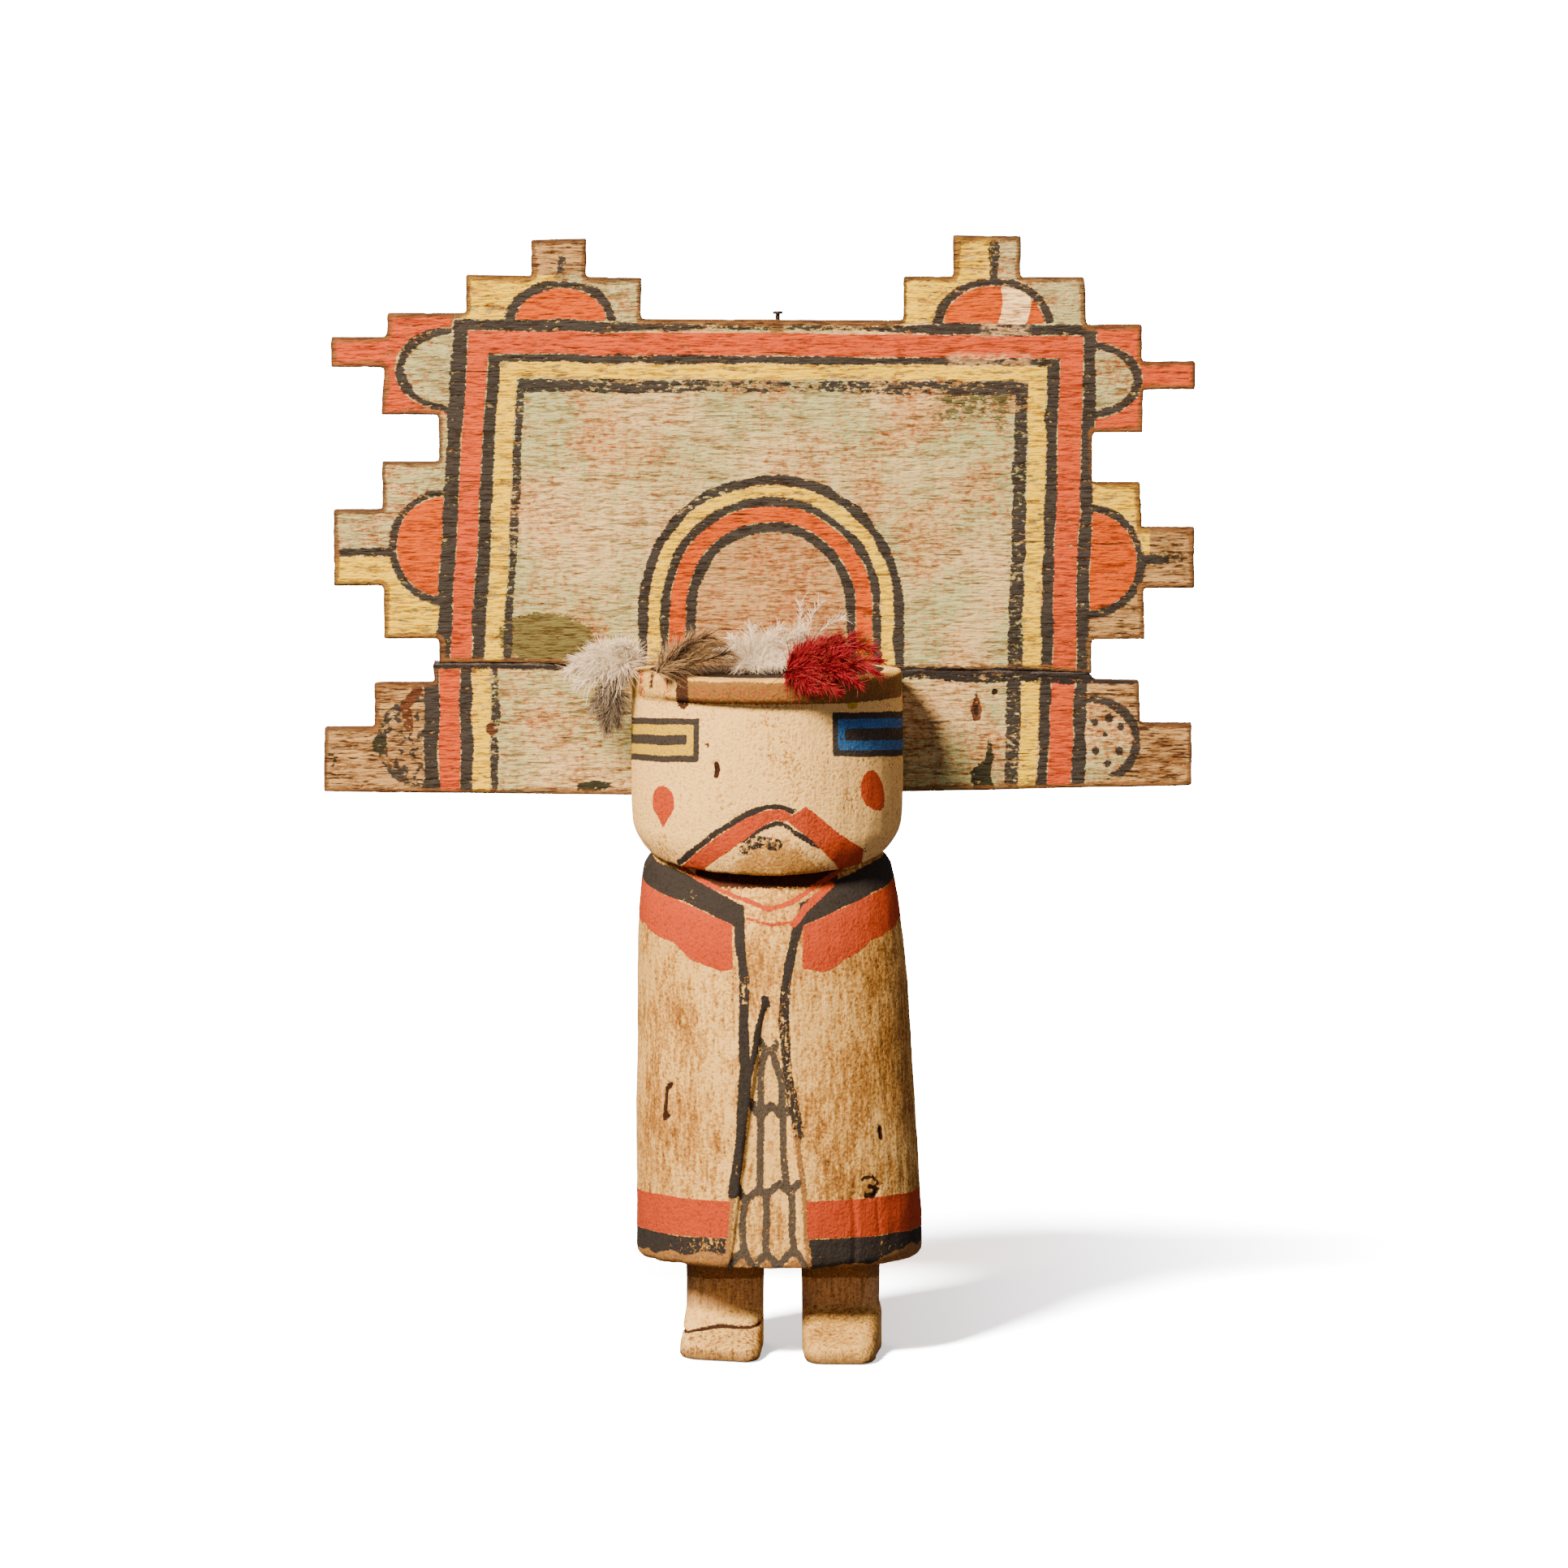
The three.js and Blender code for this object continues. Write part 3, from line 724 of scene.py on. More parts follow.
def headboard_material():
    """Worn washes and stripes on grained board, bare along the rims and plain behind."""
    material, t, shader = new_material("weathered_painted_board")
    plain = t.object_mm((1, 1, 1))
    ridge = t.noise(t.object_mm((0.20, 0.3, 1.0)), 0.9, detail=3, rough=0.58)
    hair = t.noise(t.object_mm((0.13, 0.3, 1.0)), 1.9, detail=2, rough=0.5)
    dash = t.noise(t.object_mm((0.62, 0.5, 1.0)), 1.0, detail=5, rough=0.66)
    brushed = t.noise(t.object_mm((1.0, 0.3, 0.10)), 0.5, detail=3, rough=0.6)
    patch = t.noise(plain, 0.06, detail=3, rough=0.55)
    tint = t.noise(plain, 0.035, detail=2, rough=0.5, warp=0.3)
    edge = t.noise(t.object_mm((0.5, 0.5, 1.0)), 1.3, detail=4, rough=0.65)
    speck = t.noise(t.object_mm((0.6, 0.6, 1.0)), 1.0, detail=5, rough=0.7)

    wood = t.mix(t.step(ridge, 0.38, 0.60), srgb(176, 148, 98), srgb(136, 108, 68))
    wood = t.mix(t.step(hair, 0.56, 0.66), wood, srgb(76, 55, 38))

    lean_green = t.sway(brushed, 0.5, 0.45, tint)
    wash = t.mix(t.step(lean_green, 0.28, 0.62), srgb(208, 190, 140), srgb(166, 180, 130))
    wash = t.mix(t.step(patch, 0.52, 0.68, 0.5), wash, srgb(192, 160, 102))
    lower = t.step(t.field("lower_board"), 0.0, 1.0)
    arch_floor = t.step(t.field("arch_floor"), -0.6, 0.6)
    wash = t.mix(t.math("MULTIPLY", arch_floor, 0.8), wash, srgb(172, 142, 96))
    loss = t.sway(patch, 0.5, 0.32, dash)
    loss = t.sway(brushed, 0.5, 0.22, loss)
    loss = t.math("MULTIPLY_ADD", lower, 0.03, loss)
    loss = t.math("MULTIPLY_ADD", arch_floor, 0.06, loss)
    loss = t.math("MULTIPLY_ADD", t.step(t.field("tabs"), 0.0, 1.0), 0.05, loss)
    ground = t.mix(t.step(loss, 0.51, 0.59, 0.62), wash, srgb(176, 124, 74))
    ground = t.mix(t.step(loss, 0.61, 0.69, 0.80), ground, srgb(142, 88, 50))

    wear = t.math("MULTIPLY_ADD", ridge, 0.45, t.math("MULTIPLY", speck, 0.55))
    worn_black = t.math("MULTIPLY_ADD", t.field("rubbed"), 0.17, 0.355)
    coats = Coats(t, ground, edge, wear, patch)
    coats.lay("bare_wood", wood, ragged=2.0, worn=0.45, mottle=0.4)
    coats.lay("green", srgb(172, 178, 130), ragged=1.2, worn=0.52, mottle=0.4)
    coats.lay("yellow", srgb(228, 200, 14), ragged=1.2, worn=0.46, mottle=0.4)
    coats.lay("stain", srgb(98, 96, 56), ragged=6.0, worn=0.42, mottle=0.9)
    coats.lay("mould", srgb(84, 86, 54), ragged=9.0, worn=0.53, mottle=0.6)
    coats.lay("orange", srgb(188, 81, 0), ragged=0.7, worn=0.40, mottle=0.25)
    coats.lay("red", srgb(185, 78, 36), ragged=0.9, worn=0.41, mottle=0.25)
    coats.lay("black", srgb(50, 50, 50), ragged=2.0, worn=worn_black, mottle=0.45)
    coats.lay("pale_streak", srgb(252, 228, 172), ragged=0.8, worn=0.40)
    chalk = t.math("MULTIPLY", t.step(t.field("chalk"), -0.4, 2.0), t.step(wear, 0.42, 0.56))
    coats.colour = t.mix(t.math("MULTIPLY", chalk, 0.6), coats.colour, srgb(226, 196, 150))
    coats.lay("smudge", srgb(84, 52, 34), ragged=1.6, worn=0.44, mottle=0.4)
    # painted shade inside the gouge and nail hole
    coats.lay("gouge", srgb(34, 24, 18), ragged=0.6, worn=0.30)
    coats.lay("blotch", srgb(42, 46, 34), ragged=2.4, worn=0.43)
    # darkens the low lines of the grain relief: partly dirt in the grain and partly painted shade in its
    # valleys
    painted = t.mix(t.step(hair, 0.52, 0.64, 0.70), coats.colour, srgb(166, 136, 110), "MULTIPLY")
    painted = t.mix(t.step(ridge, 0.54, 0.66, 0.70), painted, srgb(172, 142, 116), "MULTIPLY")
    crack = t.step(t.noise(t.object_mm((0.06, 0.3, 1.0)), 0.8, detail=3, rough=0.5), 0.68, 0.71)
    painted = t.mix(t.math("MULTIPLY", crack, 0.8), painted, srgb(48, 36, 28))

    rim = t.sway(speck, 0.5, 2.6, t.field("rim"))
    rim = t.sway(patch, 0.5, 3.0, rim)
    bare_rim = t.rest_of(t.step(rim, 1.1, 1.7))
    raw = t.mix(t.step(patch, 0.4, 0.62), srgb(122, 84, 42), srgb(96, 68, 38))
    raw = t.mix(t.step(hair, 0.52, 0.64), raw, srgb(66, 47, 34))
    painted = t.mix(t.math("MULTIPLY", bare_rim, 0.85), painted, raw)
    dark_rim = t.rest_of(t.step(t.field("rim"), 0.2, 1.0))
    painted = t.mix(t.math("MULTIPLY", dark_rim, 0.7), painted, srgb(62, 45, 33))
    coats.colour = painted
    coats.lay("pitch", srgb(33, 33, 36), ragged=2.4, worn=0.45, mottle=0.5)
    painted = coats.colour
    front = t.step(t.field("front"), 0.25, 0.6)
    cut_sides = t.step(t.field("front"), -0.8, -0.5)
    long_grain = t.noise(t.object_mm((0.022, 0.3, 1.0)), 1.1, detail=4, rough=0.6)
    plain_back = t.mix(t.step(long_grain, 0.40, 0.62), srgb(150, 110, 66), srgb(104, 74, 44))
    plain_back = t.mix(t.step(patch, 0.45, 0.65, 0.4), plain_back, srgb(92, 68, 44))
    behind = t.mix(cut_sides, plain_back, raw)
    t.links.new(t.mix(front, behind, painted), shader.inputs["Base Color"])

    shader.inputs["Specular IOR Level"].default_value = 0.2
    t.links.new(t.math("MULTIPLY_ADD", ridge, 0.2, 0.74), shader.inputs["Roughness"])
    height = t.math("MULTIPLY_ADD", ridge, -1.0, t.math("MULTIPLY", coats.cover, 0.10))
    height = t.math("MULTIPLY_ADD", hair, -0.35, height)
    height = t.math("MULTIPLY_ADD", speck, -0.3, height)
    height = t.math("MULTIPLY_ADD", crack, -0.5, height)
    t.links.new(bump(t, height, 1.0, 0.9), shader.inputs["Normal"])
    return material


def make_pitch_seam():
    """A bead of black pitch pressed into the joint between the two boards."""
    start, end = [Vector((px * MM, 0, pz * MM)) + AXIS for px, pz in JOINT_ENDS]
    bpy.ops.object.select_all(action="DESELECT")
    bpy.ops.mesh.primitive_cylinder_add(
        vertices=PITCH_SIDES, radius=PITCH_RADIUS * MM, depth=end.x - start.x - PITCH_SHORT * MM,
    )
    seam = bpy.context.active_object
    seam.name = "pitch_seam"
    bpy.ops.object.mode_set(mode="EDIT")
    bpy.ops.mesh.select_all(action="SELECT")
    bpy.ops.transform.rotate(value=math.pi / 2, orient_axis="Y", center_override=(0, 0, 0))
    bpy.ops.mesh.select_mode(type="EDGE")
    bpy.ops.mesh.select_all(action="DESELECT")
    bpy.ops.object.mode_set(mode="OBJECT")
    for line in seam.data.edges:
        a, b = (seam.data.vertices[i].co for i in line.vertices)
        line.select = abs(a.x - b.x) > PITCH_RADIUS * 3 * MM
    bpy.ops.object.mode_set(mode="EDIT")
    bpy.ops.mesh.subdivide(number_cuts=PITCH_RINGS)
    bpy.ops.mesh.select_mode(type="VERT")
    bpy.ops.object.mode_set(mode="OBJECT")
    count = len(seam.data.vertices)
    local = np.empty(count * 3, np.float32)
    seam.data.vertices.foreach_get("co", local)
    local = local.reshape(-1, 3).astype(float) / MM
    middle_x = (JOINT_ENDS[0][0] + JOINT_ENDS[1][0]) / 2
    points = np.empty_like(local)
    points[:, 0] = local[:, 0] + middle_x
    points[:, 1] = BOARD_FRONT_Y + BOARD_THICK / 2 + local[:, 1] * BOARD_THICK / 2 / PITCH_RADIUS
    points[:, 2] = along(points[:, 0], JOINT_ENDS) + local[:, 2]
    lumps = cloud(points, (3.2, 3, 3), 81) + 0.7 * cloud(points, (1.4, 1.4, 1.4), 82)
    points[:, 1] += 0.30 * lumps * np.sign(local[:, 1])
    points[:, 2] += 0.22 * lumps * np.sign(local[:, 2]) + 0.25 * cloud(points, (9, 90, 90), 83)
    place_points(seam, points)
    select_only(seam)
    bpy.ops.object.shade_smooth()

    material, t, shader = new_material("old_pitch")
    lump = t.noise(t.object_mm((1, 1, 1)), 0.9, detail=4, rough=0.65)
    dust = t.noise(t.object_mm((0.3, 1, 1)), 0.5, detail=3, rough=0.6)
    colour = t.mix(t.step(lump, 0.42, 0.66), srgb(26, 25, 27), srgb(64, 60, 62))
    colour = t.mix(t.step(dust, 0.62, 0.72), colour, srgb(96, 72, 48))
    t.links.new(colour, shader.inputs["Base Color"])
    t.links.new(t.math("MULTIPLY_ADD", lump, 0.5, 0.35), shader.inputs["Roughness"])
    t.links.new(bump(t, lump, 0.4, 0.7), shader.inputs["Normal"])
    seam.data.materials.append(material)
    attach(seam, ROOT_BODY)


def make_headboard():
    material = headboard_material()
    boards = (
        ("painted_upper_board", "tablita_upper_board", 31),
        ("painted_lower_board", "tablita_lower_board", 47),
    )
    for name, node, seed in boards:
        piece = skin_over(node, name, BOARD_SKIN, soft_steps=2)
        paint_headboard(piece)
        carve_board(piece, seed)
        finish_piece(piece, material, node)
    make_pitch_seam()


# Figure

# Edges of the painted collar and sash: degrees from the front, then height
COLLAR_TOP = ((0, 122.5), (15, 123.0), (52, 129.8), (84, 134.2), (180, 137))
COLLAR_FOOT = ((0, 117.0), (16, 117.3), (47, 122.6), (86, 127.8), (180, 130))
SASH_FOOT = ((0, 106.5), (17, 106.0), (26, 105.2), (40, 108.2), (55, 112.8), (83, 117), (180, 119.5))
LEFT_LAPEL = (
    (-7.4, 121.0), (-7.1, 117.2), (-6.0, 102.6), (-6.2, 92.5),
    (-6.1, 79.0), (-7.4, 57.7), (-8.8, 46.0),
)
RIGHT_LAPEL = (
    (9.4, 121.0), (8.2, 117.6), (6.7, 110.0), (5.0, 102.0),
    (4.6, 92.5), (5.4, 79.0), (8.7, 62.0),
)
LAPEL_WIDTH = 2.7
SLIT_OUTLINE = (
    (0, 99.5), (-4.2, 79), (-6.3, 60), (-8.5, 45), (-10.4, 22),
    (10.9, 22), (9.2, 46), (7.3, 62), (4.2, 80),
)
HEM_RED = (33.9, 44.2)
HEM_BLACK = (27.6, 33.9)
HEM_FOOT_BY_TURN = (
    (-180, 0), (-70, 0.4), (-25, 2.4), (-12, 1.4), (0, 0),
    (20, -2.4), (45, -0.6), (70, 2.4), (180, 0),
)
NET_SHAFTS = (
    ((-0.7, 84.6), (-1.3, 82.0), (-1.8, 67.0), (-1.8, 47.0)),
    ((1.4, 84.4), (2.0, 82.0), (4.0, 76.0), (4.2, 66.5), (5.0, 48.0)),
    ((-5.7, 44.5), (-6.4, 38.0), (-5.9, 30.5)),
    ((-0.1, 46.5), (0.0, 38.0), (-0.2, 29.5)),
    ((6.3, 46.5), (6.8, 38.0), (7.4, 30.0)),
)
NET_ROWS = (
    ((-2.0, 87.4), (-0.7, 84.6), (1.4, 84.2), (2.8, 86.8)),
    ((-4.8, 71.0), (-1.8, 66.2), (1.0, 69.8), (4.2, 66.4), (6.4, 69.0)),
    ((-8.0, 48.6), (-5.8, 44.0), (-2.0, 47.2), (-0.2, 45.4), (3.1, 48.6), (6.0, 46.2), (8.4, 49.0)),
    ((-9.8, 26.4), (-7.4, 29.4), (-5.6, 30.4), (-4.2, 27.4)),
    ((-2.8, 26.6), (-1.2, 29.0), (0.0, 29.8), (1.4, 28.6), (2.8, 26.2)),
    ((3.4, 27.0), (5.6, 29.6), (7.4, 30.6), (9.0, 28.6), (10.6, 26.0)),
)
NET_WIDTH = 2.0
FLAP_SHADE = ((-0.2, 98.4), (-2.4, 89.0), (-4.6, 79.0), (-6.0, 66.0), (-7.2, 56.0))

MOUTH_LINE = (
    (-23.1, 134.2), (-14.5, 142.0), (-6.3, 147.3), (0.0, 149.8), (3.7, 149.9),
    (8.2, 148.2), (13.6, 145.2), (19.0, 141.4), (25.8, 137.0),
)
MOUTH_INNER_LINE = ((-6.3, 141.0), (-2.7, 143.2), (2.4, 145.4), (4.6, 145.2), (8.2, 142.3), (13.4, 139.0))
MOUTH_LEFT_ARM = (
    (-22.6, 133.4), (-14.2, 141.2), (-6.0, 146.6), (0.2, 149.0), (4.4, 149.2),
    (8.0, 147.0), (4.6, 146.0), (2.4, 146.2), (-1.2, 144.4), (-8.2, 139.4),
    (-16.4, 132.6), (-17.0, 128.0), (-22.0, 130.0),
)
MOUTH_RIGHT_ARM = (
    (5.0, 146.6), (10.4, 149.8), (13.4, 147.0), (19.0, 142.2), (25.6, 137.2),
    (25.0, 132.0), (20.4, 129.0), (17.8, 134.0), (11.8, 140.3), (6.4, 145.3),
)
MOUTH_LINE_WIDTH = 1.6
CHIN_OUTLINE = (
    (-14, 131), (-5, 140.5), (1, 143.5), (4, 143.5), (10, 139.5),
    (17, 133), (20, 128), (0, 125), (-18, 128),
)

# Eyes: degrees from and to, bottom and top, and the bar's bottom and top
LEFT_EYE = ((-98.0, -33.8), (161.4, 173.2), (166.0, 168.7))
RIGHT_EYE = ((32.8, 98.0), (162.8, 174.8), (167.2, 170.4))
EYE_LINE = 1.75
EYE_BAR_INSET = 4.0
EYE_FALL = 0.035

CHEEK_RIGHT = (
    (28.9, 154.6), (29.6, 156.8), (31.2, 158.4), (33.2, 158.6), (35.4, 157.2), (37.2, 154.6),
    (38.2, 151.4), (38.0, 148.8), (36.4, 147.4), (33.8, 147.6), (30.8, 149.0), (29.2, 151.4),
)

# Cuts and holes: the route as arc and height, then width and depth
CUTS = (
    (((-32.0, 74.2), (-33.6, 73.0), (-33.9, 68.6), (-34.6, 64.8), (-33.0, 66.0)), 1.5, 0.9),
    (((31.8, 62.8), (32.0, 59.8)), 1.4, 1.0),
    (((25.2, 49.4), (28.4, 50.2), (30.4, 48.0)), 1.0, 0.6),
    (((26.4, 45.0), (28.8, 44.6), (30.2, 46.4)), 1.5, 0.9),
    (((27.6, 47.4), (29.4, 46.8)), 1.4, 0.9),
    (((-15.0, 161.2), (-14.6, 159.8), (-15.0, 158.2)), 1.7, 0.9),
    (((-18.0, 166.6), (-17.6, 166.0)), 1.0, 0.4),
)
HEM_CRACKS = (
    (((22.6, 45.0), (22.9, 34.0), (22.6, 27.0)), 2.2, 0.5),
    (((30.0, 45.0), (30.3, 34.0)), 1.4, 0.35),
)
LEFT_TOE_CREASE = ((-26.0, 5.6), (-20.0, 7.2), (-12.0, 8.0), (-6.0, 8.0), (0.0, 8.4))
BROW_RINGS_X = (-17.5, -13.2, -9.0, -4.6, -0.2, 4.2, 8.6)


def figure_places(points):
    """Degrees round the figure from the front, positive to the viewer's right, and millimetres of arc."""
    drift = along(points[:, 2], ROBE_DRIFT)
    turn = np.degrees(np.arctan2(points[:, 0] - drift, -points[:, 1]))
    return turn, turn * ARC_MM_PER_DEGREE


def eye_fields(arc, turn, z, eye):
    """The eye's whole block, and its coloured part: all but the outline and a bar that is open outwards."""
    (start, end), (low, high), (bar_low, bar_high) = eye
    level = z + EYE_FALL * (np.abs(turn) - 34)
    across = band(arc, start * ARC_MM_PER_DEGREE, end * ARC_MM_PER_DEGREE)
    block = both(across, band(level, low, high))
    inner_end = min(abs(start), abs(end)) * ARC_MM_PER_DEGREE
    bar = both(np.abs(arc) - inner_end - EYE_BAR_INSET, band(level, bar_low, bar_high))
    return block, both(block - EYE_LINE, -bar)


def paint_figure(piece):
    """Lays out the face, the robe's collar, sash, net and hem, and the dirt and painted shade on them."""
    points, normals = doll_points(piece)
    x = points[:, 0] + 0.3 * cloud(points, (7, 7, 7), 21)
    z = points[:, 2] + 0.3 * cloud(points, (7, 7, 7), 22)
    front = -points[:, 1]
    turn, arc = figure_places(points)
    away = np.abs(turn)
    on_head = points[:, 2] > along(front, ((-40, 136.2), (5, 136.0), (21, 131.5), (34, 129.0)))
    face = np.where(on_head, 1e3, -1e3)
    body = -face
    facing = front - 8
    slit = both(shape(x, z, SLIT_OUTLINE), facing)

    at_back = np.where(front > 0, -1e3, 1e3)
    collar_gap = either(np.where(x < 1, -6.0 - x, x - 8.6), at_back)
    collar = both(band(z, along(away, COLLAR_FOOT), along(away, COLLAR_TOP)), collar_gap)
    sash_gap = either(np.where(x < 1, -9.0 - x, x - 9.6), at_back)
    sash_foot = along(away, SASH_FOOT) + 0.9 * cloud(points, (3.0, 3.0, 3.0), 23)
    sash = both(band(z, sash_foot, along(away, COLLAR_FOOT)), sash_gap)
    neck_strokes = either(
        stroke(x, z, [(-27, 134.2), (-18, 129.0), (-7, 124.6)], 1.2),
        stroke(x, z, [(-6.0, 124.4), (0.5, 122.0), (6.5, 123.6), (13, 127.4), (20, 131.5)], 1.3),
        stroke(x, z, [(-5.0, 119.6), (1.5, 118.0), (7, 119.0)], 0.9),
        stroke(x, z, [(7.0, 118.4), (10.2, 122.0), (17.0, 127.6)], 2.0),
    )
    hem_foot = HEM_BLACK[0] + 1.5 * cloud(points, (4, 4, 4), 25) + along(turn, HEM_FOOT_BY_TURN)
    hem_red = both(band(z, *HEM_RED), -slit - 1.0)
    hem_black = both(band(z, hem_foot, HEM_BLACK[1]), -slit - 1.2)
    red = both(either(sash, both(neck_strokes, facing), hem_red), body)
    cheek_left = either(
        oval(arc, z, (-32.6, 150.0), (4.2, 4.6)),
        shape(arc, z, [(-36.2, 147.8), (-29.2, 147.8), (-32.8, 143.0)]),
    )
    mouth = both(either(shape(x, z, MOUTH_LEFT_ARM), shape(x, z, MOUTH_RIGHT_ARM)), facing)
    red = either(red, both(either(mouth, cheek_left, shape(arc, z, CHEEK_RIGHT)), face))

    slit_shade = both(stroke(x, z, [(-0.8, 98.6), (0.4, 97.0)], 1.6), facing, body)
    outer_line = both(stroke(x, z, MOUTH_LINE, MOUTH_LINE_WIDTH), -shape(x, z, MOUTH_RIGHT_ARM) - 0.2)
    mouth_lines = either(outer_line, stroke(x, z, MOUTH_INNER_LINE, MOUTH_LINE_WIDTH))
    lip_specks = both(stroke(x, z, [(-6.0, 138.2), (-3.0, 140.4), (2.5, 139.6)], 3.4), facing)
    thick = 0.3 * cloud(points, (4, 4, 4), 26)
    left_lapel = both(stroke(x, z, LEFT_LAPEL, LAPEL_WIDTH), facing, body)
    right_lapel = both(stroke(x, z, RIGHT_LAPEL, LAPEL_WIDTH), facing, body)
    hem_wear = 0.15 + 0.75 * near(turn, z, (-26, 30), (40, 12)) + 0.45 * near(turn, z, (58, 30), (22, 6))
    strokes = [
        (both(collar, body), 0.1 + 0.4 * near(x, z, (-21, 124), (5, 4))),
        (left_lapel, 0.25 + 0.6 * near(x, z, (-6, 101), (8, 7))),
        (right_lapel, along(z, ((60, 0.85), (100, 0.8), (107, 0.3)))),
        # painted shadow along the slit's left flap, laid with the black paint
        (slit_shade, 0.2),
        (both(stroke(x, z, FLAP_SHADE, 1.7), facing, body), 0.2),
        (both(hem_black, body), hem_wear),
        (both(mouth_lines, facing, face), 0.4),
        (both(lip_specks, face), 0.95),
    ]
    black, rubbed = strongest(strokes)
    net = either(*[stroke(x, z, route, NET_WIDTH) for route in NET_SHAFTS + NET_ROWS])
    left_block, left_ring = eye_fields(arc, turn, z, LEFT_EYE)
    right_block, right_ring = eye_fields(arc, turn, z, RIGHT_EYE)
    yellow = either(left_ring, oval(x, z, (22.8, 176.2), (1.5, 0.9)))

    rim_reach = np.hypot(x / HEAD_RADIUS[0], points[:, 1] / HEAD_RADIUS[1])
    brow = both(band(z, 177.0, CROWN_Z + 1), front - 2, (rim_reach - 0.90) * 34)
    brow_rings = either(*[stroke_ring(x, z, (ring_x, 179.6), 1.5, 0.8) for ring_x in BROW_RINGS_X])
    brow_stripes = either(
        stroke(x, z, [(-33.4, 184), (-33.2, 178)], 1.6),
        stroke(x, z, [(-26.4, 183), (-26.8, 178)], 1.8),
    )
    # painted shade: a dark brown stroke where the brow's left end meets the rest of the band, and a thin
    # painted shadow of a feather quill across the brow
    brow_painted_shade = both(stroke(x, z, [(-22.6, 184), (-22.2, 177)], 3.2), front - 12)
    quill_shade = both(stroke(x, z, [(-30.4, 184.4), (-31.0, 180.6)], 0.9), front - 8)
    hem_bare = both(hem_foot + 0.4 - z, z - 20)
    slit_edge = both(0.8 - np.abs(slit + 0.7), 62 - z, facing)
    cuts = either(*[stroke(arc, z, route, width) for route, width, _ in CUTS])
    crease = both(stroke(x, z, LEFT_TOE_CREASE, 0.9), -x)

    fields = {
        "red": red, "yellow": both(yellow, face), "blue": both(right_ring, face),
        "black": black + thick, "rubbed": rubbed, "eye_block": both(either(left_block, right_block), face),
        "net": both(net, slit + 0.4), "slit": slit,
        "crown": both(points[:, 2] - CROWN_Z + 1.2, (0.86 - rim_reach) * 34),
        # painted highlight: cream along the brow's top edge; the cream on its left end is partly cream paint
        # and partly painted light on that facet
        "brow": brow, "brow_cream_and_highlight": both(brow, either(z - 183.1, -23.4 - x)),
        "brow_red": both(brow, either(brow_rings, brow_stripes)),
        # painted shade on the brow: the notch stroke and the quill's shadow
        "brow_painted_shade": either(brow_painted_shade, quill_shade),
        "chin_dirt": both(shape(x, z, CHIN_OUTLINE), face, facing),
        # painted shadow: dark brown on the top of the neck, where the chin's shadow falls
        "under_chin_painted_shadow": both(z - 127.2, 19 - np.abs(x), facing, body),
        "bare_wood": both(either(hem_bare, slit_edge), body),
        # the cut field paints dark brown into the carved cuts and holes and along the left toe's crease:
        # painted shade in these hollows
        "cut": either(both(cuts, facing), both(crease, front)), "face": face.clip(-1, 1), "height": z,
        "upward": normals[:, 2], "turn": turn, "scuffed_toe": both(-3 - x, 10.5 - z, front - 12),
    }
    for name, values in fields.items():
        keep_field(piece, name, values)


def carve_figure(piece):
    """Knife facets and grain over the whole figure, then the marks that time has left in it."""
    points, normals = doll_points(piece)
    z = points[:, 2]
    _, arc = figure_places(points)
    lift = 0.22 * cloud(points, (11, 11, 26), 61) + 0.08 * cloud(points, (2.4, 2.4, 13), 62)
    lift += 0.07 * cloud(points, (1.9, 1.9, 2.6), 63)
    facing = points[:, 1] < 0
    for route, width, depth in CUTS + HEM_CRACKS:
        lift -= facing * depth * (stroke(arc, z, route, width) / 0.7).clip(0, 1)
    crease = both(stroke(points[:, 0], z, LEFT_TOE_CREASE, 1.6), -points[:, 0])
    lift -= facing * 0.8 * (crease / 0.8).clip(0, 1)
    toe_chips = cloud(points, (2.6, 2.6, 2.6), 64).clip(0.1) * (points[:, 1] < -16) * (z < 8)
    lift -= 0.5 * toe_chips
    hem_chips = cloud(points, (3.0, 3.0, 2.0), 65).clip(0.2) * (np.abs(z - 26.2) < 1.6)
    lift -= 0.5 * hem_chips
    grounded = np.clip(z / 1.5, 0, 1)
    place_points(piece, points + normals * (lift * grounded)[:, None])


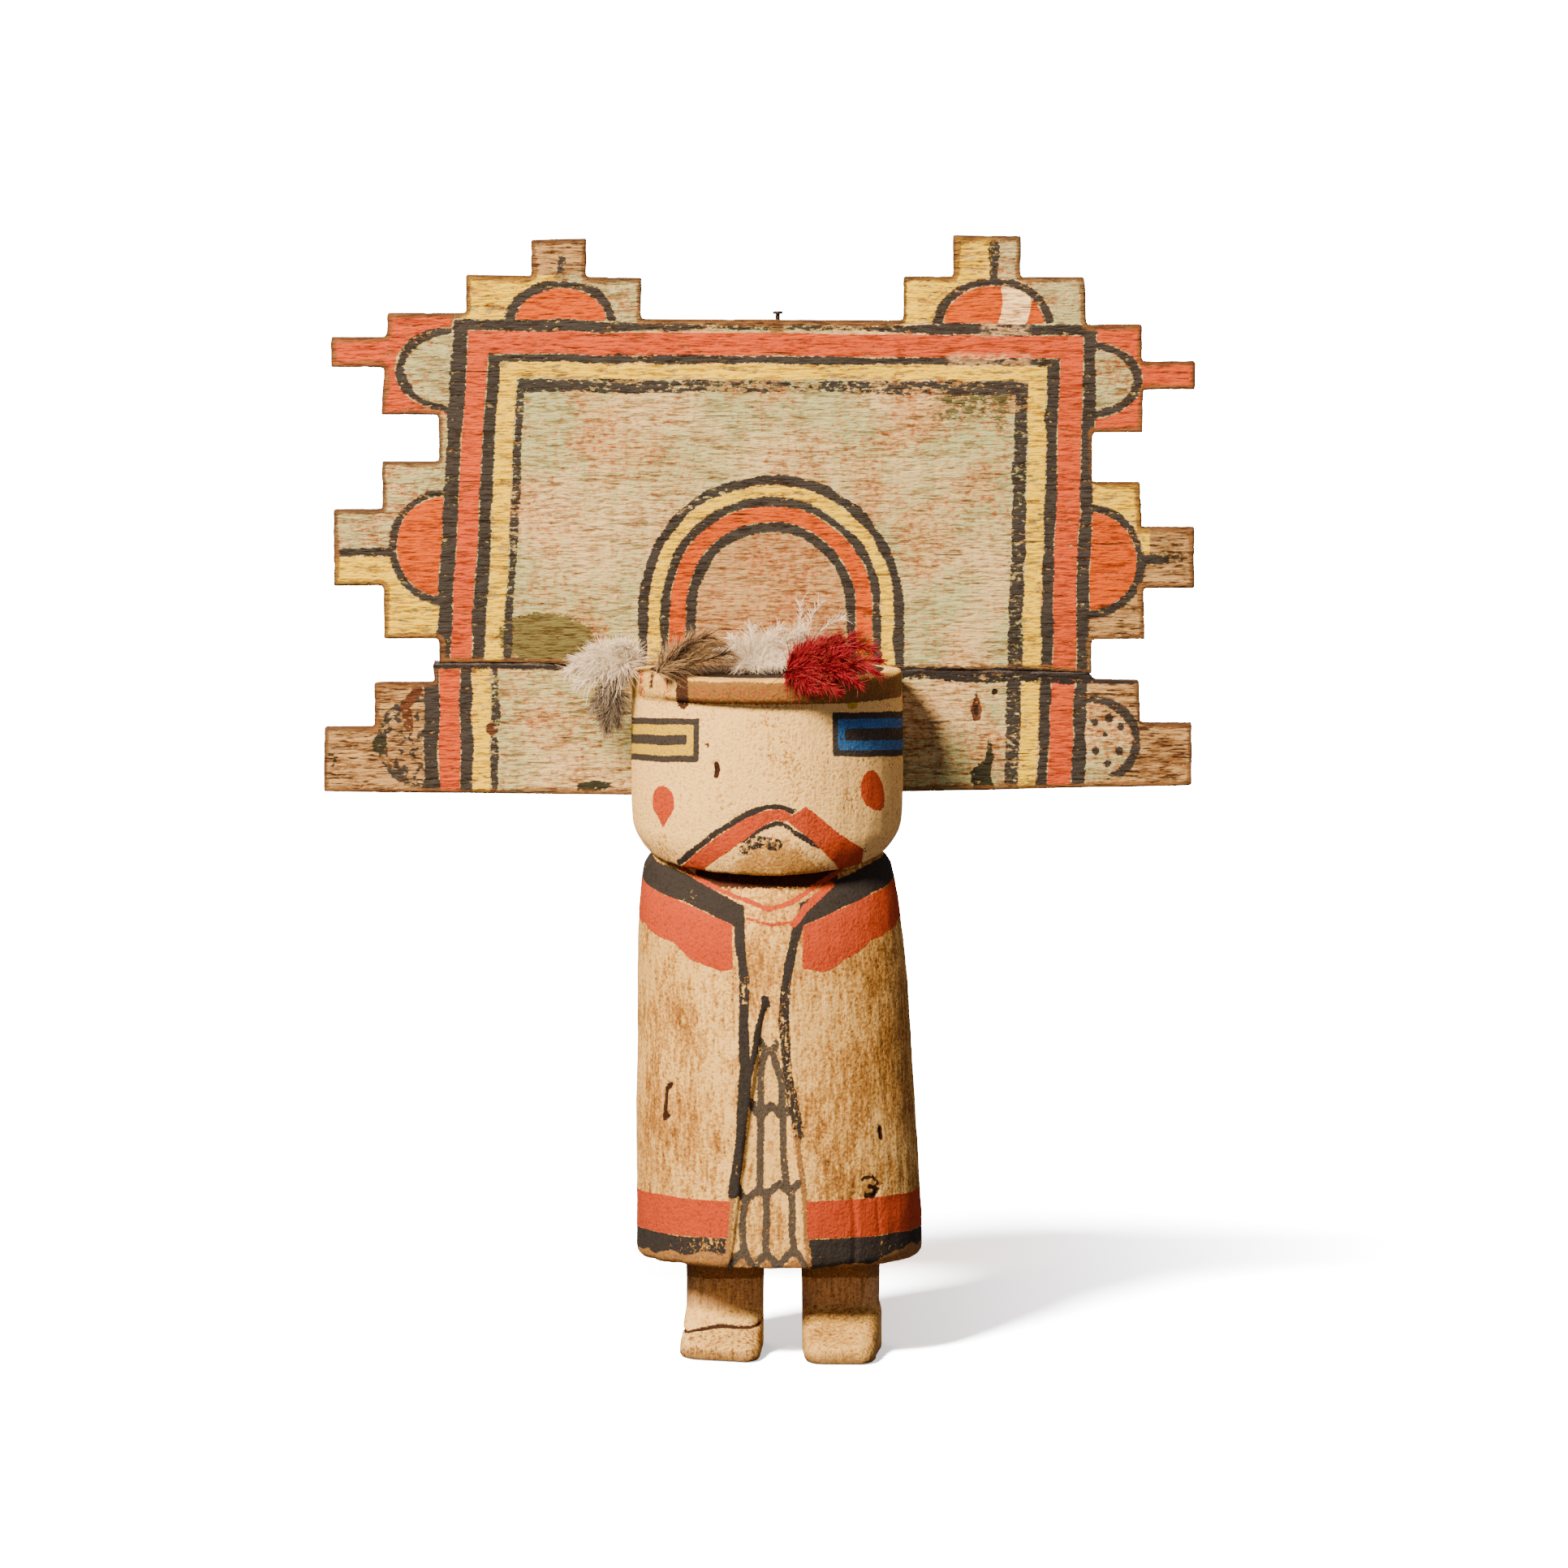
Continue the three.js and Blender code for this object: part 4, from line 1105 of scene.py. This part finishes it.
def figure_material():
    """Whitewash rubbed through to root wood, with the painted dress and face over it."""
    material, t, shader = new_material("whitewashed_root_wood")
    plain = t.object_mm((1, 1, 1))
    grain = t.noise(t.object_mm((1, 1, 0.12)), 1.2, detail=3, rough=0.6)
    grit = t.noise(plain, 1.15, detail=4, rough=0.66)
    streak = t.noise(t.object_mm((1, 1, 0.22)), 0.80, detail=4, rough=0.62)
    patch = t.noise(t.object_mm((1, 1, 0.55)), 0.075, detail=3, rough=0.55)
    broad = t.noise(plain, 0.03, detail=2, rough=0.5)
    edge = t.noise(plain, 1.3, detail=3, rough=0.62)
    speck = t.noise(plain, 0.9, detail=5, rough=0.72)

    wood = t.mix(t.step(grain, 0.42, 0.62), srgb(214, 178, 130), srgb(176, 138, 98))
    face = t.step(t.field("face"), -0.5, 0.5)
    chin = t.step(t.field("chin_dirt"), -2.0, 6.0)
    robe_loss = t.math("MULTIPLY_ADD", grit, 0.46, t.math("MULTIPLY", streak, 0.56))
    face_loss = t.math("MULTIPLY_ADD", grit, 0.6, 0.07)
    fine_loss = t.math("MULTIPLY_ADD", face, t.math("SUBTRACT", face_loss, robe_loss), robe_loss)
    loss = t.sway(patch, 0.48, 0.46, fine_loss)
    loss = t.math("MULTIPLY_ADD", t.step(t.field("slit"), -0.5, 0.5), -0.04, loss)
    loss = t.math("MULTIPLY_ADD", chin, 0.22, loss)
    # painted shade: a little more paint loss, so more bare brown, on the robe's right side, which turns away
    # from the key light; it fades out before the back
    shaded_side = t.math("MULTIPLY", t.step(t.field("turn"), 12.0, 60.0), t.rest_of(face))
    before_back = t.rest_of(t.step(t.field("turn"), 80.0, 140.0))
    shaded_side = t.math("MULTIPLY", shaded_side, before_back)
    on_robe = t.step(t.field("height"), 18.0, 26.0)
    loss = t.math("MULTIPLY_ADD", t.math("MULTIPLY", shaded_side, on_robe), 0.05, loss)
    loss = t.math("MULTIPLY_ADD", t.rest_of(on_robe), -0.05, loss)
    pale = t.mix(t.step(broad, 0.35, 0.65), srgb(240, 208, 126), srgb(224, 192, 112))
    wash = t.mix(face, pale, srgb(250, 218, 138))
    ground = t.mix(t.step(loss, 0.44, 0.56, 0.85), wash, srgb(186, 142, 66))
    bare = t.math("MULTIPLY_ADD", face, -0.30, 0.80)
    under = t.mix(face, srgb(138, 96, 42), srgb(172, 130, 66))
    ground = t.mix(t.step(loss, 0.54, 0.65, bare), ground, under)
    pepper = t.math("MULTIPLY_ADD", face, -0.60, 0.85)
    ground = t.mix(t.step(loss, 0.67, 0.75, pepper), ground, srgb(68, 48, 32))
    # bare wood on the legs under the hem is their own colour; keeping it off upward faces leaves the foot
    # tops pale, which is painted light
    legs = t.rest_of(t.step(t.field("height"), 24.0, 26.0))
    legs = t.math("MULTIPLY", legs, t.step(t.field("height"), 9.0, 13.0))
    upward = t.step(t.field("upward"), -0.1, 0.5)
    leg_wood_with_painted_top_light = t.math("MULTIPLY", legs, t.math("SUBTRACT", 0.75, t.math("MULTIPLY", upward, 0.65)))
    ground = t.mix(leg_wood_with_painted_top_light, ground, wood)

    wear = t.math("MULTIPLY_ADD", grain, 0.35, t.math("MULTIPLY", speck, 0.65))
    worn_black = t.math("MULTIPLY_ADD", t.field("rubbed"), 0.19, 0.33)
    coats = Coats(t, ground, edge, wear, patch)
    coats.lay("bare_wood", srgb(150, 114, 66), ragged=1.6, worn=0.44, mottle=0.6)
    coats.lay("scuffed_toe", srgb(146, 104, 56), ragged=6.0, worn=0.57, mottle=0.5)
    # painted shadow under the chin, laid as a dark coat on the neck
    coats.lay("under_chin_painted_shadow", srgb(72, 40, 28), ragged=3.0, worn=0.38, mottle=0.5)
    coats.lay("brow", srgb(134, 100, 50), ragged=1.2, worn=0.40, mottle=0.6)
    # painted highlight along the brow's top edge, and cream on its left end that is partly painted light
    coats.lay("brow_cream_and_highlight", srgb(222, 188, 108), ragged=1.6, worn=0.42, mottle=0.3)
    coats.lay("brow_red", srgb(150, 72, 44), ragged=2.2, worn=0.54, mottle=0.3)
    # painted shade on the brow, laid as a dark brown coat
    coats.lay("brow_painted_shade", srgb(66, 44, 30), ragged=2.4, worn=0.42, mottle=0.6)
    coats.lay("crown", srgb(38, 38, 40), ragged=2.0, worn=0.40)
    coats.lay("net", srgb(74, 72, 66), ragged=1.2, worn=0.42, mottle=0.35)
    coats.lay("eye_block", srgb(56, 55, 54), ragged=0.6, worn=0.36)
    coats.lay("yellow", srgb(205, 180, 40), ragged=0.7, worn=0.39)
    coats.lay("blue", srgb(46, 106, 178), ragged=1.0, worn=0.43, mottle=0.4)
    # the black coat also lays the painted shadow along the slit's left flap
    coats.lay("black", srgb(44, 44, 45), ragged=1.1, worn=worn_black, mottle=0.35)
    coats.lay("red", srgb(176, 70, 36), ragged=0.9, worn=0.34, mottle=0.25)
    # painted shade: dark brown in the carved cuts and holes and along the toe crease
    coats.lay("cut", srgb(52, 32, 22), ragged=0.8, worn=0.36)
    # painted shade in the hollows of the relief: the grit step darkens its pits; the grain step is partly
    # dirt in the grain and partly painted shade
    painted = t.mix(t.step(grain, 0.56, 0.70, 0.30), coats.colour, srgb(170, 138, 108), "MULTIPLY")
    painted = t.mix(t.step(grit, 0.50, 0.66, 0.50), painted, srgb(182, 150, 118), "MULTIPLY")
    toe = t.rest_of(t.step(t.math("MULTIPLY_ADD", grit, 6.0, t.field("height")), 3.5, 6.5))
    painted = t.mix(t.math("MULTIPLY", toe, 0.75), painted, srgb(104, 72, 42))
    t.links.new(painted, shader.inputs["Base Color"])

    shader.inputs["Specular IOR Level"].default_value = 0.2
    t.links.new(t.math("MULTIPLY_ADD", speck, 0.2, 0.72), shader.inputs["Roughness"])
    height = t.math("MULTIPLY_ADD", grit, -0.9, t.math("MULTIPLY", coats.cover, 0.12))
    height = t.math("MULTIPLY_ADD", grain, -0.35, height)
    t.links.new(bump(t, height, 0.75, 0.9), shader.inputs["Normal"])
    return material


def make_figure():
    piece = skin_over("figure", "painted_figure", FIGURE_SKIN, soft_steps=4)
    paint_figure(piece)
    carve_figure(piece)
    finish_piece(piece, figure_material(), "figure")


# Nail

def make_nail():
    """A small wire nail with a flat head, hammered a little out of round."""
    bpy.ops.object.select_all(action="DESELECT")
    middle = (nail_low + nail_high) / 2
    bpy.ops.mesh.primitive_cylinder_add(
        vertices=NAIL_SIDES, radius=NAIL_SHANK * MM, depth=nail_high.z - nail_low.z - NAIL_HEAD_ROOM * MM,
        location=(middle.x, middle.y, (nail_low.z + nail_high.z) / 2 - NAIL_HEAD_ROOM / 2 * MM),
    )
    piece = bpy.context.active_object
    piece.name = "old_nail"
    bpy.ops.object.transform_apply(location=True, rotation=False, scale=False)
    bpy.ops.object.mode_set(mode="EDIT")
    bpy.ops.mesh.select_all(action="DESELECT")
    bpy.ops.object.mode_set(mode="OBJECT")
    for face in piece.data.polygons:
        face.select = face.normal.z > 0.9
    bpy.ops.object.mode_set(mode="EDIT")
    bpy.ops.mesh.extrude_region_move()
    bpy.ops.transform.resize(value=(NAIL_HEAD_SPREAD, NAIL_HEAD_SPREAD, 1))
    bpy.ops.mesh.extrude_region_move(TRANSFORM_OT_translate={"value": (0, 0, NAIL_HEAD_THICK * MM)})
    bpy.ops.mesh.inset(thickness=NAIL_CROWN_INSET * MM, depth=NAIL_CROWN_RISE * MM)
    bpy.ops.object.mode_set(mode="OBJECT")
    points, _ = doll_points(piece)
    top = points[:, 2] > points[:, 2].max() - 1.0
    dents = 0.1 * cloud(points, (0.9, 0.9, 0.9), 71) * top
    place_points(piece, points + np.array([1.0, 1.0, 0.4]) * dents[:, None])
    select_only(piece)
    bpy.ops.object.shade_smooth_by_angle(angle=math.radians(40))

    material, t, shader = new_material("rusted_iron")
    place = t.object_mm((1, 1, 1))
    rust = t.noise(place, 1.3, detail=5, rough=0.7)
    colour = t.mix(t.step(rust, 0.42, 0.62), srgb(34, 33, 34), srgb(64, 46, 36))
    t.links.new(colour, shader.inputs["Base Color"])
    shader.inputs["Metallic"].default_value = 0.6
    t.links.new(t.math("MULTIPLY_ADD", rust, 0.4, 0.4), shader.inputs["Roughness"])
    t.links.new(bump(t, rust, 0.15, 0.6), shader.inputs["Normal"])
    finish_piece(piece, material, "nail")


# Feathers

def ribbons(routes, widths, flat_way):
    """Thin two-sided ribbons along many routes at once, each tapering to its tip."""
    steps = routes.shape[1]
    run = np.gradient(routes, axis=1)
    side = np.cross(run, flat_way[:, None, :])
    side /= np.linalg.norm(side, axis=2, keepdims=True) + 1e-9
    taper = np.linspace(1, 0.12, steps) ** 0.7
    half = 0.5 * widths[:, None, None] * taper[None, :, None]
    pairs = np.stack([routes - side * half, routes + side * half], axis=2)
    points = pairs.reshape(-1, 3)
    first = np.arange(len(routes))[:, None] * steps * 2 + np.arange(steps - 1)[None, :] * 2
    faces = np.stack([first, first + 1, first + 3, first + 2], axis=-1).reshape(-1, 4)
    return points, faces


def clear_of_wood(points):
    """Barbs lie on the crown and against the headboard, never in them."""
    points[:, 1] = np.minimum(points[:, 1], BOARD_FRONT_Y - 0.3)
    spread = np.hypot(points[:, 0] / (HEAD_RADIUS[0] + 0.4), points[:, 1] / (HEAD_RADIUS[1] + 0.6))
    inside = (spread < 1) & (points[:, 2] < CROWN_Z + 0.3)
    near_top = inside & (points[:, 2] > CROWN_Z - 4) & (spread < 0.93)
    points[near_top, 2] = CROWN_Z + 0.3
    rest = inside & ~near_top
    points[rest, :2] /= spread[rest, None]
    return points


def spray_barbs(rng, root, tip, count, length, width, opening):
    """Barbs along one bowed shaft. Returns their routes, widths and flat directions."""
    root = np.array(root, float)
    tip = np.array(tip, float)
    reach = np.linalg.norm(tip - root)
    bow = (root + tip) / 2 + rng.normal(0, 0.13 * reach, 3) + np.array([0, 0, 0.10 * reach])
    share = rng.uniform(0.05, 1, count)[:, None]
    base = (1 - share) ** 2 * root + 2 * share * (1 - share) * bow + share ** 2 * tip
    run = 2 * (1 - share) * (bow - root) + 2 * share * (tip - bow)
    run /= np.linalg.norm(run, axis=1, keepdims=True)
    across = rng.normal(0, 1, (count, 3))
    across -= run * (across * run).sum(1, keepdims=True)
    across /= np.linalg.norm(across, axis=1, keepdims=True)
    angle = np.radians(opening) * (1.15 - 0.75 * share) * rng.uniform(0.6, 1.2, (count, 1))
    way = run * np.cos(angle) + across * np.sin(angle)
    long = length * rng.uniform(0.45, 1.0, (count, 1)) * (1.05 - 0.45 * share)
    curl = across * rng.normal(0.05, 0.28, (count, 1)) + rng.normal(0, 0.16, (count, 3))
    curl[:, 2] -= 0.10
    u = np.linspace(0, 1, BARB_STEPS)[None, :, None]
    routes = base[:, None, :] + long[:, None, :] * (way[:, None, :] * u + curl[:, None, :] * u ** 2)
    widths = width * rng.uniform(0.6, 1.3, count)
    return routes, widths, rng.normal(0, 1, (count, 3))


def make_plume(name, node, material, sprays, seed):
    """A plume is a bunch of sprays. Each spray is one row that fan makes."""
    rng = np.random.default_rng(seed)
    all_points = []
    all_faces = []
    all_tints = []
    total = 0
    for root, tip, count, length, width, opening, tint in sprays:
        routes, widths, flat_way = spray_barbs(rng, root, tip, count, length, width, opening)
        shape_of = routes.shape
        routes = clear_of_wood(routes.reshape(-1, 3)).reshape(shape_of)
        points, faces = ribbons(routes, widths, flat_way)
        each = np.clip(tint + rng.normal(0, 0.12, count), 0, 1)
        all_points.append(points)
        all_faces.append(faces + total)
        all_tints.append(np.repeat(each, shape_of[1] * 2))
        total += len(points)
    mesh = bpy.data.meshes.new(name)
    points = np.concatenate(all_points) * MM + np.array(AXIS)
    mesh.from_pydata(points.tolist(), [], np.concatenate(all_faces).tolist())
    mesh.update()
    piece = bpy.data.objects.new(name, mesh)
    bpy.context.scene.collection.objects.link(piece)
    keep_field(piece, "tint", np.concatenate(all_tints))
    select_only(piece)
    bpy.ops.object.shade_smooth()
    finish_piece(piece, material, node)


def feather_material(name, pale, deep, sheen):
    """Barbs that run from a pale to a deep colour by their own tint."""
    material, t, shader = new_material(name)
    streak = t.noise(t.object_mm((1, 1, 1)), 0.6, detail=2)
    share = t.math("MULTIPLY_ADD", t.math("SUBTRACT", streak, 0.5), 0.5, t.field("tint"), clamp=True)
    t.links.new(t.mix(share, pale, deep), shader.inputs["Base Color"])
    shader.inputs["Roughness"].default_value = 0.75
    shader.inputs["Specular IOR Level"].default_value = 0.2
    shader.inputs["Sheen Weight"].default_value = sheen
    return material


def fan(root, tips, count, length, width, opening, tint):
    """One spray from the root to each tip, all of one kind."""
    return [(root, tip, count, length, width, opening, tint) for tip in tips]


def make_feathers():
    white = feather_material("white_down", srgb(244, 238, 222), srgb(84, 74, 62), sheen=0.2)
    brown = feather_material("brown_feather", srgb(158, 136, 104), srgb(40, 31, 25), sheen=0.0)
    red = feather_material("red_down", srgb(134, 0, 34), srgb(150, 118, 76), sheen=0.0)

    left_root = (-37, -9, 186)
    left = fan(
        left_root,
        [(-53, -8, 184), (-51, -10, 187), (-50, -11, 181), (-45, -12, 185.5), (-46, -9, 189.5)],
        640, 6.5, 0.20, 66, 0.06,
    )
    left += fan(left_root, [(-40, -11, 190.5), (-38, -12, 191), (-39, -13, 186)], 620, 6.0, 0.20, 66, 0.04)
    left += fan(left_root, [(-44, -9, 177), (-41, -8, 173), (-46, -7, 175)], 560, 6.0, 0.19, 60, 0.78)
    left += fan(
        (-40, -7, 179),
        [(-42.5, -6, 168.5), (-40, -7, 170), (-44, -4, 171)],
        560, 6.5, 0.19, 62, 0.92,
    )
    make_plume("down_left", "feather_white_left", white, left, 101)

    brown_root = (-29.5, -28, 184.6)
    barbs = fan(
        brown_root,
        [(-12, -18, 192), (-9, -17, 189.5), (-16, -17, 195), (-8, -18, 187.5), (-19, -19, 191)],
        520, 6.5, 0.20, 56, 0.10,
    )
    barbs += fan(
        brown_root,
        [(-14, -23, 194), (-18, -24, 193), (-11, -23, 190), (-22, -25, 191)],
        46, 9.0, 0.28, 14, 0.95,
    )
    make_plume("brown_barbs", "feather_brown", brown, barbs, 102)

    middle_root = (-2, 0, 186.5)
    middle = fan(
        middle_root,
        [(-13, -4, 189), (-9, -3, 192), (-4, 0, 194), (3, 1, 194.5), (9, 1, 194), (-8, -10, 187.5)],
        520, 6.0, 0.18, 62, 0.06,
    )
    middle += fan(middle_root, [(0, -9, 187.5), (6, -6, 188), (-12, -12, 187)], 380, 5.5, 0.17, 60, 0.10)
    middle += fan(
        (-4, -12, 186.4),
        [(-7, -21, 186.8), (-1, -22, 186.8), (4, -20, 187.2)],
        300, 5.0, 0.17, 58, 0.1,
    )
    middle += fan((8, 4, 188), [(9, 6, 201), (14, 7, 201), (20, 6, 197)], 90, 6.0, 0.13, 48, 0.0)
    middle += fan((8, 0, 187), [(10, -2, 193), (13, -2, 192)], 220, 5.0, 0.18, 55, 0.55)
    make_plume("down_middle", "feather_white_middle", white, middle, 103)

    red_root = (5, -33, 186.4)
    plume = fan(
        red_root,
        [(13, -30, 192), (18, -28, 194.5), (23, -27, 195), (27, -27, 192), (29, -29, 188.5)],
        640, 7.0, 0.33, 36, 0.0,
    )
    plume += fan(
        red_root,
        [(29, -32, 185.5), (24, -36, 183), (18, -38, 181.5), (12, -38, 182), (20, -35, 187)],
        620, 6.0, 0.33, 40, 0.0,
    )
    plume += fan((14, -32, 187), [(20, -33, 190), (16, -36, 186), (22, -30, 186)], 560, 6.0, 0.33, 52, 0.0)
    plume += fan((21, -27, 188), [(27, -24, 194), (29, -25, 191)], 90, 6.0, 0.18, 36, 0.85)
    make_plume("down_red", "feather_red", red, plume, 104)


make_camera()
make_lights()
make_world()
make_floor()
make_figure()
make_headboard()
make_nail()
make_feathers()

bpy.context.view_layer.update()
